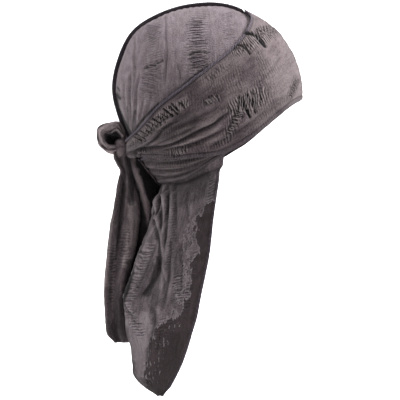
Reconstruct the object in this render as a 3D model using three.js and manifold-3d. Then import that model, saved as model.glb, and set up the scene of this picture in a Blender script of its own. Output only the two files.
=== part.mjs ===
import * as THREE from 'three';
import { mergeVertices } from 'three/addons/utils/BufferGeometryUtils.js';
import Module from 'manifold-3d';

// A durag as it sits when it is tied on: two crown panels joined by a raised seam, two wide ties
// that cross on the forehead and meet in a knot behind, a cape down the back, and the tie ends.
// X points forward, Y to the wearer's left, Z up. The origin is inside the top of the crown.

const wasm = await Module();
wasm.setup();

// Driving sizes in millimetres
const FORM_LENGTH = 186.4;
const FORM_WIDTH = 152;
const CROWN_RISE = 86.6;
const CLOTH_WALL = 1.5;
const LAYER_GAP = 0.9;
const PIECE_GAP = 0.35;
const SEAM_FIN_HEIGHT = 4.4;
const SEAM_FIN_WIDTH = 2.4;
const PLEAT_DEPTH = 2.4;
const KNOT_WIDTH = 22;
const KNOT_DEPTH = 15.6;
const KNOT_HEIGHT = 19.6;
const LOOP_LENGTH = 26;
const LOOP_HEIGHT = 20.5;
const LOOP_THICKNESS = 11;
const LOOP_WIDTH = 18;
const TIE_END_LENGTH = 206;
const TIE_END_WIDTH = 31.5;
const TIE_END_DEPTH = 24;
const CAPE_LENGTH = 234;
const CAPE_DEPTH = 80;
const CAPE_WIDTH = 124;
const CAPE_FOLD_DEPTH = 8;
const CAPE_LAP = 15;
const CAPE_SPRING = 9;

// Steps of the faceted surfaces
const CROWN_STEPS = { along: 24, across: 8 };
const SEAM_STEPS = 48;
const TIE_STEPS = { along: 48, across: 8 };
const KNOT_STEPS = { round: 18, along: 12 };
const LOOP_STEPS = { along: 24, round: 12 };
const BACK_END_STEPS = { across: 16, down: 17 };
const SIDE_END_STEPS = { across: 10, down: 16 };
const CAPE_STEPS = { across: 27, down: 24 };
const CAPE_ROW_CROWDING = 1.25;

const RIGHT = 1;
const LEFT = -1;
const CROWN_LIFT = 0;
const LAYER_STEP = CLOTH_WALL + LAYER_GAP;
const RIGHT_TIE_LIFT = CROWN_LIFT + LAYER_STEP;
const LEFT_TIE_LIFT = RIGHT_TIE_LIFT + LAYER_STEP;

// Side outline of the head that the cloth holds, every 20 degrees from the front over the top:
// each value is a share of half the length along X and of the crown's rise along Z.
const OUTLINE_STEP = 20;
const OUTLINE_REACH = [
  1.0, 0.984, 0.991, 0.983, 0.999, 0.995, 1.016, 1.051, 1.023,
  1.018, 1.003, 1.05, 1.171, 1.373, 1.476, 1.368, 1.18, 1.029,
];

// Lower edge of a crown panel from the brow to the nape: out is the angle from the side's middle,
// turn the angle round it from the front, in degrees.
const CROWN_EDGE = [
  { out: 86, turn: 353 },
  { out: 66.6, turn: 350.3 },
  { out: 47.9, turn: 334.8 },
  { out: 35.2, turn: 312.9 },
  { out: 30.5, turn: 284 },
  { out: 34.9, turn: 270 },
  { out: 44.1, turn: 259.2 },
  { out: 56.1, turn: 250.4 },
  { out: 71.3, turn: 243.3 },
  { out: 87, turn: 240.5 },
];
const CROWN_BACK_TURN = 239;
const CROWN_FRONT_TURN = -5;

// The raised seam stands proud between these turns, and lies flat under the ties outside them.
const FIN_FRONT_TURN = 69;
const FIN_BACK_TURN = 207;
const FIN_RUN_OUT = 4.5;

// A tie's two edges, from its root at the nape, forward low on its own side, over the forehead
// and back high on the other side to the knot. Own is true on the tie's own side of the head.
const TIE_LOWER_EDGE = [
  { own: false, out: 84, turn: 243 },
  { own: true, out: 72.8, turn: 246.6 },
  { own: true, out: 47.2, turn: 260.7 },
  { own: true, out: 32.6, turn: 281.9 },
  { own: true, out: 37.0, turn: 316 },
  { own: true, out: 55, turn: 342.5 },
  { own: true, out: 67, turn: 350.5 },
  { own: true, out: 79, turn: 353 },
  { own: true, out: 90, turn: 354 },
  { own: false, out: 66.8, turn: 350.1 },
  { own: false, out: 55, turn: 341.8 },
  { own: false, out: 37.4, turn: 316.6 },
  { own: false, out: 31.2, turn: 290.3 },
  { own: false, out: 33.9, turn: 265.3 },
  { own: false, out: 48.3, turn: 243 },
  { own: false, out: 67.4, turn: 229.5 },
  { own: false, out: 87.5, turn: 219.5 },
];
const TIE_UPPER_EDGE = [
  { own: false, out: 84, turn: 227 },
  { own: true, out: 64.1, turn: 230.7 },
  { own: true, out: 35.5, turn: 257.1 },
  { own: true, out: 25.8, turn: 288.2 },
  { own: true, out: 30, turn: 325 },
  { own: true, out: 44, turn: 3 },
  { own: true, out: 60, turn: 33 },
  { own: true, out: 76, turn: 51 },
  { own: true, out: 90, turn: 63.4 },
  { own: false, out: 70.8, turn: 61.5 },
  { own: false, out: 51.6, turn: 58.6 },
  { own: false, out: 30.9, turn: 61.3 },
  { own: false, out: 15.3, turn: 80.8 },
  { own: false, out: 12.8, turn: 169.8 },
  { own: false, out: 32, turn: 199.9 },
  { own: false, out: 52.8, turn: 210.8 },
  { own: false, out: 84, turn: 213.6 },
];

// The knot lies against the ties' outer face, this far round the head form, and its middle sits a
// share of its height lower. The tie's turns show as grooves, a share of its radius deep.
const KNOT_TURN = 217;
const KNOT_DROP = 0.16;
const KNOT_SEAT_DEPTH = 0.97;
const KNOT_GROOVES = { count: 7, depth: 0.07, twist: 3 };

// The loop leaves the knot's top and comes back to its foot. Its middle is a share of its size back
// from and above the knot's. Turn is the angle from the front, reach a share of the half length and
// height, thick and wide are shares of the loop's own sizes. Flat is how far its round section is
// pressed in, as a share of the thickness. Closing is how far its left side is drawn to its middle.
const LOOP_PLACE = { back: 0.31, up: 0.5 };
const LOOP_FLAT = 0.14;
const LOOP_CLOSING = 0.78;
const LOOP_SECTIONS = [
  { turn: -12, reach: 0.62, thick: 0.5, wide: 0.62 },
  { turn: 18, reach: 0.66, thick: 0.54, wide: 0.7 },
  { turn: 45, reach: 0.76, thick: 0.66, wide: 0.82 },
  { turn: 72, reach: 0.93, thick: 1, wide: 0.92 },
  { turn: 105, reach: 0.99, thick: 1.16, wide: 1 },
  { turn: 145, reach: 1.06, thick: 1.02, wide: 1 },
  { turn: 190, reach: 0.98, thick: 0.96, wide: 0.98 },
  { turn: 230, reach: 1, thick: 0.92, wide: 0.94 },
  { turn: 270, reach: 0.98, thick: 0.86, wide: 0.88 },
  { turn: 302, reach: 1, thick: 0.78, wide: 0.8 },
];

// Near the knot a tie lifts off the head and runs out to it, most of all along its lower edge.
const KNOT_PULL = 10;
const KNOT_PULL_FROM = 0.93;

// Pleats that run from the knot along a tie: across and ahead are shares of the tie's spread at
// the knot and where the pleat fades, reach is the share of the tie's length where it fades.
const PLEAT_CREST = 0.45;
const PLEAT_EVEN_TO = 0.45;
const PLEAT_EDGE = 0.2;
const TIE_PLEATS = [
  { across: 0.3, ahead: 0.37, reach: 0.74, width: 0.075, depth: 1.0 },
  { across: 0.52, ahead: 0.64, reach: 0.84, width: 0.07, depth: 0.8 },
  { across: 0.8, ahead: 0.84, reach: 0.86, width: 0.06, depth: 0.5 },
];

// Sections of the cape from the nape to its tip: down is a share of its length, back and front
// of its depth measured from the nape, width of its whole width.
const CAPE_SECTIONS = [
  { down: 0, back: 0.05, front: 0.856, width: 1 },
  { down: 0.108, back: -0.027, front: 0.815, width: 0.984 },
  { down: 0.206, back: -0.113, front: 0.775, width: 0.952 },
  { down: 0.287, back: -0.198, front: 0.75, width: 0.919 },
  { down: 0.359, back: -0.27, front: 0.724, width: 0.887 },
  { down: 0.466, back: -0.335, front: 0.665, width: 0.839 },
  { down: 0.565, back: -0.455, front: 0.605, width: 0.758 },
  { down: 0.637, back: -0.45, front: 0.565, width: 0.694 },
  { down: 0.713, back: -0.427, front: 0.5, width: 0.597 },
  { down: 0.789, back: -0.34, front: 0.435, width: 0.484 },
  { down: 0.852, back: -0.29, front: 0.37, width: 0.371 },
  { down: 0.91, back: -0.27, front: 0.29, width: 0.258 },
  { down: 0.955, back: -0.15, front: 0.22, width: 0.16 },
  { down: 1.0, back: 0.04, front: 0.12, width: 0.07 },
];

// Folds of the cape: top and bottom give where a fold runs, as shares from the back's middle to
// the side edges, the right side's negative. From and to give its stretch down the cape, depth
// is a share of the fold depth, negative where the cloth sinks in.
const CAPE_FOLD_ROOM = 0.25;
const FOLD_RUN_IN = 0.25;
const FOLD_RUN_OUT = 0.33;
const CAPE_FOLDS = [
  { top: -0.33, bottom: -0.33, from: 0.02, to: 0.32, width: 0.05, depth: -0.55 },
  { top: -0.47, bottom: -0.5, from: 0.02, to: 0.3, width: 0.05, depth: -0.4 },
  { top: -0.44, bottom: -0.2, from: 0.25, to: 0.62, width: 0.1, depth: 0.9 },
  { top: -0.6, bottom: -0.42, from: 0.33, to: 0.6, width: 0.11, depth: -1.0 },
  { top: 0.36, bottom: 0.4, from: 0.02, to: 0.45, width: 0.06, depth: -0.5 },
  { top: 0.58, bottom: 0.52, from: 0.05, to: 0.6, width: 0.08, depth: -0.7 },
  { top: 0.8, bottom: 0.72, from: 0.2, to: 0.8, width: 0.08, depth: -0.5 },
  { top: 0.06, bottom: 0.0, from: -0.06, to: 0.85, width: 0.2, depth: -1.6 },
];

// Sections of the tie end that hangs at the back, from the knot down: left and right are shares
// of its width measured from the knot.
const BACK_END_SECTIONS = [
  { down: 0.038, left: -0.117, right: 0.217, fold: 0.45 },
  { down: 0.084, left: -0.09, right: 0.27, fold: 0.5 },
  { down: 0.115, left: -0.03, right: 0.3, fold: 0.5 },
  { down: 0.15, left: -0.08, right: 0.34, fold: 0.55 },
  { down: 0.232, left: -0.17, right: 0.517, fold: 0.7 },
  { down: 0.308, left: -0.27, right: 0.6, fold: 0.85 },
  { down: 0.384, left: -0.37, right: 0.56, fold: 1 },
  { down: 0.527, left: -0.47, right: 0.42, fold: 1 },
  { down: 0.679, left: -0.57, right: 0.16, fold: 0.95 },
  { down: 0.781, left: -0.575, right: 0.02, fold: 0.9 },
  { down: 0.883, left: -0.54, right: 0.06, fold: 0.85 },
  { down: 0.949, left: -0.48, right: 0.12, fold: 0.8 },
  { down: 0.99, left: -0.24, right: 0.16, fold: 0.6 },
];
// The fold of that end seen from above: along its width, and toward the right or left side.
const BACK_END_FOLD = [
  { along: 0.9, aside: 0.42 },
  { along: 1.0, aside: 0.0 },
  { along: 0.93, aside: -0.42 },
  { along: 0.72, aside: -0.5 },
  { along: 0.48, aside: -0.14 },
  { along: 0.26, aside: -0.1 },
  { along: 0.1, aside: -0.36 },
  { along: 0.0, aside: -0.1 },
  { along: 0.08, aside: 0.3 },
  { along: 0.35, aside: 0.5 },
  { along: 0.68, aside: 0.46 },
];

// Sections of the tie end that hangs on the left, folded to a crest that faces right: crest is
// along its width, near and far are the crest's and the flanks' places across its depth.
const SIDE_END_CREST = 1.5;
const SIDE_END_SECTIONS = [
  { down: 0.062, left: 0.28, right: 0.54, crest: 0.38, near: -0.29, far: 0.56 },
  { down: 0.12, left: 0.36, right: 0.84, crest: 0.54, near: -0.42, far: 1.04 },
  { down: 0.186, left: 0.44, right: 1.16, crest: 0.7, near: -0.46, far: 1.22 },
  { down: 0.257, left: 0.52, right: 1.22, crest: 0.84, near: -0.42, far: 1.2 },
  { down: 0.323, left: 0.54, right: 1.08, crest: 0.9, near: -0.34, far: 1.1 },
  { down: 0.399, left: 0.48, right: 0.92, crest: 0.82, near: -0.16, far: 1.0 },
  { down: 0.501, left: 0.32, right: 0.68, crest: 0.55, near: 0.1, far: 1.05 },
  { down: 0.628, left: 0.04, right: 0.5, crest: 0.32, near: 0.66, far: 1.15 },
  { down: 0.756, left: -0.18, right: 0.2, crest: 0.05, near: 0.75, far: 1.25 },
];

const CLOTH_SHADES = {
  crown: 0x7d7175,
  seam: 0x3e383c,
  tieLeft: 0x6a6061,
  tieRight: 0x5b5052,
  knot: 0x5a5056,
  loop: 0x6f676c,
  ends: 0x4e464c,
  cape: 0x594f53,
};

// Cubic through four values, at a share of the way from the second to the third.
function cubic(before, from, to, after, share) {
  const square = share * share;
  const cube = square * share;
  const slopeFrom = (to - before) / 2;
  const slopeTo = (after - from) / 2;
  return from * (2 * cube - 3 * square + 1) + slopeFrom * (cube - 2 * square + share)
    + to * (3 * square - 2 * cube) + slopeTo * (cube - square);
}

// One column of a section table, read smoothly at a place along the piece.
function readSections(rows, at, column, key = 'down') {
  const last = rows.length - 1;
  let i = 0;
  while (i < last - 1 && rows[i + 1][key] < at) {
    i += 1;
  }
  const span = rows[i + 1][key] - rows[i][key];
  const share = THREE.MathUtils.clamp((at - rows[i][key]) / span, 0, 1);
  const before = rows[Math.max(i - 1, 0)][column];
  const after = rows[Math.min(i + 2, last)][column];
  return cubic(before, rows[i][column], rows[i + 1][column], after, share);
}

function outlineReach(turn) {
  const count = OUTLINE_REACH.length;
  const place = ((turn % 360) + 360) % 360 / OUTLINE_STEP;
  const i = Math.floor(place);
  const at = (k) => OUTLINE_REACH[(i + k + count) % count];
  return cubic(at(-1), at(0), at(1), at(2), place - i);
}

// Direction from the middle of the head form: side is RIGHT or LEFT.
function direction(side, out, turn) {
  const angleOut = THREE.MathUtils.degToRad(out);
  const angleTurn = THREE.MathUtils.degToRad(turn);
  return new THREE.Vector3(
    Math.sin(angleOut) * Math.cos(angleTurn),
    -side * Math.cos(angleOut),
    Math.sin(angleOut) * Math.sin(angleTurn),
  );
}

// Direction a share of the way round from one direction to another.
function between(from, to, share) {
  const angle = from.angleTo(to);
  if (angle < 1e-6) {
    return from.clone();
  }
  const scale = 1 / Math.sin(angle);
  return from.clone().multiplyScalar(Math.sin((1 - share) * angle) * scale)
    .addScaledVector(to, Math.sin(share * angle) * scale);
}

// Point on the head form in a direction, lifted off it.
function onForm(toward, lift) {
  const turn = Math.atan2(toward.z, toward.x);
  const reach = outlineReach(THREE.MathUtils.radToDeg(turn));
  const alongX = FORM_LENGTH / 2 * reach * Math.cos(turn);
  const alongZ = CROWN_RISE * reach * Math.sin(turn);
  const flat = Math.hypot(toward.x, toward.z);
  const grown = 1 + lift / Math.hypot(alongX, alongZ);
  return new THREE.Vector3(
    alongX * grown * flat,
    (FORM_WIDTH / 2 + lift) * toward.y,
    alongZ * grown * flat - CROWN_RISE,
  );
}

// Closed body between two grids of points, each a list of columns with as many rows.
function bodyBetween(inner, outer) {
  const columns = inner.length;
  const rows = inner[0].length;
  const positions = [];
  for (const grid of [inner, outer]) {
    for (const column of grid) {
      for (const point of column) {
        positions.push(point.x, point.y, point.z);
      }
    }
  }
  const index = [];
  const at = (layer, i, j) => (layer * columns + i) * rows + j;
  const quad = (a, b, c, d) => index.push(a, b, c, a, c, d);
  for (let i = 0; i < columns - 1; i += 1) {
    for (let j = 0; j < rows - 1; j += 1) {
      quad(at(0, i, j), at(0, i, j + 1), at(0, i + 1, j + 1), at(0, i + 1, j));
      quad(at(1, i, j), at(1, i + 1, j), at(1, i + 1, j + 1), at(1, i, j + 1));
    }
    quad(at(0, i, 0), at(0, i + 1, 0), at(1, i + 1, 0), at(1, i, 0));
    quad(at(0, i, rows - 1), at(1, i, rows - 1), at(1, i + 1, rows - 1), at(0, i + 1, rows - 1));
  }
  for (let j = 0; j < rows - 1; j += 1) {
    quad(at(0, 0, j), at(1, 0, j), at(1, 0, j + 1), at(0, 0, j + 1));
    quad(at(0, columns - 1, j), at(0, columns - 1, j + 1), at(1, columns - 1, j + 1), at(1, columns - 1, j));
  }
  const body = new THREE.BufferGeometry();
  body.setAttribute('position', new THREE.Float32BufferAttribute(positions, 3));
  body.setIndex(index);
  return facingOut(body);
}

function enclosedVolume(body) {
  const place = body.getAttribute('position');
  const [a, b, c] = [new THREE.Vector3(), new THREE.Vector3(), new THREE.Vector3()];
  let sum = 0;
  for (let i = 0; i < body.index.count; i += 3) {
    a.fromBufferAttribute(place, body.index.getX(i));
    b.fromBufferAttribute(place, body.index.getX(i + 1));
    c.fromBufferAttribute(place, body.index.getX(i + 2));
    sum += a.dot(b.cross(c)) / 6;
  }
  return sum;
}

// A body made on the wearer's left is a mirror image, so its faces are turned round.
function facingOut(body) {
  if (enclosedVolume(body) < 0) {
    const order = Array.from(body.index.array);
    for (let i = 0; i < order.length; i += 3) {
      [order[i], order[i + 1]] = [order[i + 1], order[i]];
    }
    body.setIndex(order);
  }
  return body;
}

function grid(columns, rows, pointAt) {
  const made = [];
  for (let i = 0; i <= columns; i += 1) {
    const column = [];
    for (let j = 0; j <= rows; j += 1) {
      column.push(pointAt(i / columns, j / rows));
    }
    made.push(column);
  }
  return made;
}

// Cloth on the head form: toward gives the direction and rise the extra lift at each place.
function clothOnForm(steps, lift, toward, rise) {
  const layer = (height) => grid(
    steps.along,
    steps.across,
    (s, t) => onForm(toward(s, t), height + rise(s, t)),
  );
  return bodyBetween(layer(lift), layer(lift + CLOTH_WALL));
}

// Cloth that hangs free: a middle surface with half a wall on each side of it.
function hangingCloth(middle) {
  const columns = middle.length;
  const rows = middle[0].length;
  const normalAt = (i, j) => {
    const across = middle[Math.min(i + 1, columns - 1)][j].clone().sub(middle[Math.max(i - 1, 0)][j]);
    const down = middle[i][Math.min(j + 1, rows - 1)].clone().sub(middle[i][Math.max(j - 1, 0)]);
    return across.cross(down).normalize();
  };
  const offset = (amount) => middle.map(
    (column, i) => column.map((point, j) => point.clone().addScaledVector(normalAt(i, j), amount)),
  );
  return bodyBetween(offset(-CLOTH_WALL / 2), offset(CLOTH_WALL / 2));
}

function toSolid(body) {
  const bare = new THREE.BufferGeometry();
  bare.setAttribute('position', body.getAttribute('position').clone());
  if (body.index) {
    bare.setIndex(body.index.clone());
  }
  const merged = mergeVertices(bare, 1e-4);
  return new wasm.Manifold(new wasm.Mesh({
    numProp: 3,
    vertProperties: new Float32Array(merged.getAttribute('position').array),
    triVerts: new Uint32Array(merged.index.array),
  }));
}

function toBody(solid) {
  const made = solid.getMesh();
  const body = new THREE.BufferGeometry();
  body.setAttribute('position', new THREE.Float32BufferAttribute(made.vertProperties, 3));
  body.setIndex(Array.from(made.triVerts));
  return body;
}

// Crown panel of one side, from its lower edge up to the seam in the middle.
function crownPanel(side) {
  const edge = new THREE.CatmullRomCurve3(CROWN_EDGE.map((row) => direction(side, row.out, row.turn)));
  const seamSlant = Math.asin((SEAM_FIN_WIDTH / 2 + PIECE_GAP) / (FORM_WIDTH / 2));
  const seamOut = 90 - THREE.MathUtils.radToDeg(seamSlant);
  const toward = (s, t) => {
    const seamTurn = THREE.MathUtils.lerp(CROWN_FRONT_TURN, CROWN_BACK_TURN, s);
    const seam = direction(side, seamOut, seamTurn);
    return between(edge.getPoint(s).normalize(), seam, t);
  };
  return clothOnForm(CROWN_STEPS, CROWN_LIFT, toward, () => 0);
}

// The two panels' edges, turned up and sewn together as a fin along the middle.
function centreSeam() {
  const proud = (turn) => {
    const front = THREE.MathUtils.smoothstep(turn, FIN_FRONT_TURN - FIN_RUN_OUT, FIN_FRONT_TURN);
    const back = 1 - THREE.MathUtils.smoothstep(turn, FIN_BACK_TURN, FIN_BACK_TURN + FIN_RUN_OUT);
    return CLOTH_WALL + SEAM_FIN_HEIGHT * front * back;
  };
  const side = (sign) => grid(SEAM_STEPS, 1, (s, t) => {
    const turn = THREE.MathUtils.lerp(CROWN_FRONT_TURN, CROWN_BACK_TURN, s);
    const point = onForm(direction(RIGHT, 90, turn), CROWN_LIFT + t * proud(turn));
    point.y = sign * SEAM_FIN_WIDTH / 2;
    return point;
  });
  return bodyBetween(side(-1), side(1));
}

function pleatRise(s, t, firstShare) {
  let rise = 0;
  for (const pleat of TIE_PLEATS) {
    const along = THREE.MathUtils.clamp((1 - s) / (1 - pleat.reach), 0, 1);
    const line = THREE.MathUtils.lerp(pleat.across, pleat.ahead, along);
    const fade = 1 - THREE.MathUtils.smoothstep(along, PLEAT_EVEN_TO, 1);
    const sink = Math.exp(-(((t - line) / pleat.width) ** 2));
    rise += pleat.depth * fade * (PLEAT_CREST - sink);
  }
  const spread = THREE.MathUtils.smoothstep(t, firstShare, firstShare + PLEAT_EDGE);
  return PLEAT_DEPTH * Math.max(rise, 0) * spread;
}

function knotPull(s, t) {
  return KNOT_PULL * (1 - t) * THREE.MathUtils.smoothstep(s, KNOT_PULL_FROM, 1);
}

// A tie of one side at its layer's lift, from its root at the nape to the knot.
function wideTie(side, lift, pleatsFrom) {
  const sideOf = (own) => (own ? side : -side);
  const edgeCurve = (rows) => new THREE.CatmullRomCurve3(
    rows.map((row) => direction(sideOf(row.own), row.out, row.turn)),
  );
  const lower = edgeCurve(TIE_LOWER_EDGE);
  const upper = edgeCurve(TIE_UPPER_EDGE);
  const toward = (s, t) => between(lower.getPoint(s).normalize(), upper.getPoint(s).normalize(), t);
  const rise = (s, t) => pleatRise(s, t, pleatsFrom) + knotPull(s, t);
  return outOfKnot(clothOnForm(TIE_STEPS, lift, toward, rise));
}

const knotSeat = onForm(direction(RIGHT, 90, KNOT_TURN), LEFT_TIE_LIFT + CLOTH_WALL + PIECE_GAP);
const knotOffset = new THREE.Vector3(-KNOT_DEPTH / 2 * KNOT_SEAT_DEPTH, 0, -KNOT_HEIGHT * KNOT_DROP);
const knotCentre = knotSeat.clone().add(knotOffset);

// The knot, a ball of cloth with the turns of the tie showing as grooves, grown by a clearance.
function knotBody(clearance) {
  const ball = new THREE.SphereGeometry(1, KNOT_STEPS.round, KNOT_STEPS.along);
  const place = ball.getAttribute('position');
  const point = new THREE.Vector3();
  for (let i = 0; i < place.count; i += 1) {
    point.fromBufferAttribute(place, i);
    const fromAxis = Math.hypot(point.x, point.z);
    const wave = Math.cos(KNOT_GROOVES.count * Math.atan2(point.z, point.x) + KNOT_GROOVES.twist * point.y);
    const size = 1 + KNOT_GROOVES.depth * fromAxis * wave;
    place.setXYZ(
      i,
      knotCentre.x + point.x * (size * KNOT_DEPTH / 2 + clearance),
      knotCentre.y + point.y * (size * KNOT_WIDTH / 2 + clearance),
      knotCentre.z + point.z * (size * KNOT_HEIGHT / 2 + clearance),
    );
  }
  ball.deleteAttribute('normal');
  ball.deleteAttribute('uv');
  return facingOut(mergeVertices(ball, 1e-4));
}

const knotClearance = toSolid(knotBody(PIECE_GAP));

// A piece that comes out of the knot ends against it, with the gap between pieces.
function outOfKnot(body) {
  return toBody(toSolid(body).subtract(knotClearance));
}

// The loop left in the tie, a bow standing back from the knot.
function knotLoop() {
  const offset = new THREE.Vector3(-LOOP_LENGTH * LOOP_PLACE.back, 0, LOOP_HEIGHT * LOOP_PLACE.up);
  const centre = knotCentre.clone().add(offset);
  const first = LOOP_SECTIONS[0].turn;
  const last = LOOP_SECTIONS[LOOP_SECTIONS.length - 1].turn;
  const rings = grid(LOOP_STEPS.along, LOOP_STEPS.round, (s, t) => {
    const turn = THREE.MathUtils.lerp(first, last, s);
    const [reach, thick, wide] = ['reach', 'thick', 'wide'].map(
      (column) => readSections(LOOP_SECTIONS, turn, column, 'turn'),
    );
    const round = THREE.MathUtils.degToRad(turn);
    const section = t * 2 * Math.PI;
    const half = LOOP_THICKNESS / 2 * thick * (1 - LOOP_FLAT * (1 - Math.cos(2 * section)));
    const outward = new THREE.Vector3(Math.cos(round), 0, Math.sin(round));
    const drawn = reach * (1 - LOOP_CLOSING * Math.max(0, Math.sin(section)));
    const middle = new THREE.Vector3(
      centre.x + LOOP_LENGTH / 2 * drawn * Math.cos(round),
      centre.y + LOOP_WIDTH / 2 * wide * Math.sin(section),
      centre.z + LOOP_HEIGHT / 2 * drawn * Math.sin(round),
    );
    return middle.addScaledVector(outward, half * Math.cos(section));
  });
  return outOfKnot(tubeBody(rings));
}

// Closed body of a tube from its rings of points, with a fan over each end.
function tubeBody(rings) {
  const sides = rings[0].length - 1;
  const positions = [];
  for (const ring of rings) {
    for (let j = 0; j < sides; j += 1) {
      positions.push(ring[j].x, ring[j].y, ring[j].z);
    }
  }
  const index = [];
  for (let i = 0; i < rings.length - 1; i += 1) {
    for (let j = 0; j < sides; j += 1) {
      const a = i * sides + j;
      const b = i * sides + (j + 1) % sides;
      index.push(a, b, b + sides, a, b + sides, a + sides);
    }
  }
  const lastRing = (rings.length - 1) * sides;
  for (let j = 1; j < sides - 1; j += 1) {
    index.push(0, j + 1, j);
    index.push(lastRing, lastRing + j, lastRing + j + 1);
  }
  const body = new THREE.BufferGeometry();
  body.setAttribute('position', new THREE.Float32BufferAttribute(positions, 3));
  body.setIndex(index);
  return facingOut(body);
}

// The tie end behind, a strip folded into a channel that opens to the right.
function backTieEnd() {
  const fold = new THREE.SplineCurve(BACK_END_FOLD.map((row) => new THREE.Vector2(row.along, row.aside)));
  const first = BACK_END_SECTIONS[0].down;
  const last = BACK_END_SECTIONS[BACK_END_SECTIONS.length - 1].down;
  const middle = grid(BACK_END_STEPS.across, BACK_END_STEPS.down, (s, t) => {
    const down = THREE.MathUtils.lerp(first, last, t);
    const left = readSections(BACK_END_SECTIONS, down, 'left');
    const right = readSections(BACK_END_SECTIONS, down, 'right');
    const depth = readSections(BACK_END_SECTIONS, down, 'fold');
    const place = fold.getPoint(s);
    return new THREE.Vector3(
      knotCentre.x + TIE_END_WIDTH * THREE.MathUtils.lerp(left, right, place.x),
      knotCentre.y + TIE_END_DEPTH * depth * place.y,
      knotCentre.z - TIE_END_LENGTH * down,
    );
  });
  return outOfKnot(hangingCloth(middle));
}

// The other tie end, a strip folded to a crest, hanging on the left of the cape.
function sideTieEnd() {
  const first = SIDE_END_SECTIONS[0].down;
  const last = SIDE_END_SECTIONS[SIDE_END_SECTIONS.length - 1].down;
  const middle = grid(SIDE_END_STEPS.across, SIDE_END_STEPS.down, (s, t) => {
    const down = THREE.MathUtils.lerp(first, last, t);
    const read = (column) => readSections(SIDE_END_SECTIONS, down, column);
    const along = s < 0.5
      ? THREE.MathUtils.lerp(read('left'), read('crest'), 2 * s)
      : THREE.MathUtils.lerp(read('crest'), read('right'), 2 * s - 1);
    const crest = Math.cos((2 * s - 1) * Math.PI / 2) ** SIDE_END_CREST;
    return new THREE.Vector3(
      knotCentre.x + TIE_END_WIDTH * along,
      knotCentre.y + TIE_END_DEPTH * THREE.MathUtils.lerp(read('far'), read('near'), crest),
      knotCentre.z - TIE_END_LENGTH * down,
    );
  });
  return outOfKnot(hangingCloth(middle));
}

function foldSink(place, down) {
  let sink = 0;
  for (const fold of CAPE_FOLDS) {
    const along = (down - fold.from) / (fold.to - fold.from);
    if (along > 0 && along < 1) {
      const line = THREE.MathUtils.lerp(fold.top, fold.bottom, along);
      const strength = Math.min(1, along / FOLD_RUN_IN, (1 - along) / FOLD_RUN_OUT);
      sink += fold.depth * strength * Math.exp(-(((place - line) / fold.width) ** 2));
    }
  }
  return sink;
}

// The cape, one sheet bent round the back of the neck, gathered under the ties at the nape.
function cape() {
  const rim = new THREE.CatmullRomCurve3(
    [...CROWN_EDGE.slice(4).map((row) => direction(RIGHT, row.out, row.turn)),
      ...CROWN_EDGE.slice(4).reverse().map((row) => direction(LEFT, row.out, row.turn))],
  );
  const nape = onForm(direction(RIGHT, 90, CROWN_BACK_TURN), CLOTH_WALL / 2);
  const below = (toward, drop) => {
    const lowered = toward.clone();
    lowered.z -= drop / CROWN_RISE;
    return lowered.normalize();
  };
  const hangAt = (w, z) => {
    const down = THREE.MathUtils.clamp((nape.z - z) / CAPE_LENGTH, 0, 1);
    const back = CAPE_DEPTH * readSections(CAPE_SECTIONS, down, 'back');
    const front = CAPE_DEPTH * readSections(CAPE_SECTIONS, down, 'front');
    const half = CAPE_WIDTH / 2 * readSections(CAPE_SECTIONS, down, 'width');
    const bend = w * Math.PI / 2;
    const room = Math.min(1, half / (CAPE_WIDTH * CAPE_FOLD_ROOM));
    const sink = foldSink(w, down) * CAPE_FOLD_DEPTH * room;
    const outward = new THREE.Vector2(-Math.cos(bend) * half, Math.sin(bend) * (front - back)).normalize();
    return new THREE.Vector3(
      nape.x + back + (front - back) * (1 - Math.cos(bend)) + sink * outward.x,
      half * Math.sin(bend) + sink * outward.y,
      z,
    );
  };
  const tipZ = nape.z - CAPE_LENGTH;
  const middle = grid(CAPE_STEPS.across, CAPE_STEPS.down, (s, t) => {
    const w = 2 * s - 1;
    const start = below(rim.getPoint(s), CLOTH_WALL + PIECE_GAP);
    const top = onForm(start, CLOTH_WALL / 2);
    const fall = (top.z - tipZ) * t ** CAPE_ROW_CROWDING;
    const held = onForm(below(start, fall), CLOTH_WALL / 2);
    const free = hangAt(w, top.z - fall);
    const loose = THREE.MathUtils.smoothstep(fall, CAPE_LAP, CAPE_LAP + CAPE_SPRING);
    return held.lerp(free, loose);
  });
  return hangingCloth(middle);
}

function piece(name, body, shade) {
  const cloth = new THREE.MeshStandardMaterial({ color: shade, roughness: 0.92, metalness: 0 });
  const mesh = new THREE.Mesh(body, cloth);
  mesh.name = name;
  return mesh;
}

const durag = new THREE.Group();
durag.add(
  piece('crown_right', crownPanel(RIGHT), CLOTH_SHADES.crown),
  piece('crown_left', crownPanel(LEFT), CLOTH_SHADES.crown),
  piece('centre_seam', centreSeam(), CLOTH_SHADES.seam),
  piece('tie_right', wideTie(RIGHT, RIGHT_TIE_LIFT, 0.25), CLOTH_SHADES.tieRight),
  piece('tie_left', wideTie(LEFT, LEFT_TIE_LIFT, 0), CLOTH_SHADES.tieLeft),
  piece('knot', knotBody(0), CLOTH_SHADES.knot),
  piece('knot_loop', knotLoop(), CLOTH_SHADES.loop),
  piece('tie_end_back', backTieEnd(), CLOTH_SHADES.ends),
  piece('tie_end_side', sideTieEnd(), CLOTH_SHADES.ends),
  piece('cape', cape(), CLOTH_SHADES.cape),
);

export default durag;
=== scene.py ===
"""A durag of laddered knit as it sits when tied on: crown, raised seam, two wide ties, knot, loop,
tie ends and cape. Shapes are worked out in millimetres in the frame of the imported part: X points
forward, Y to the left, Z up. Each mesh is written in metres."""

import itertools
import math

import bmesh
import bpy
import numpy as np
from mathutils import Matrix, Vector
from mathutils.kdtree import KDTree


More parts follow.
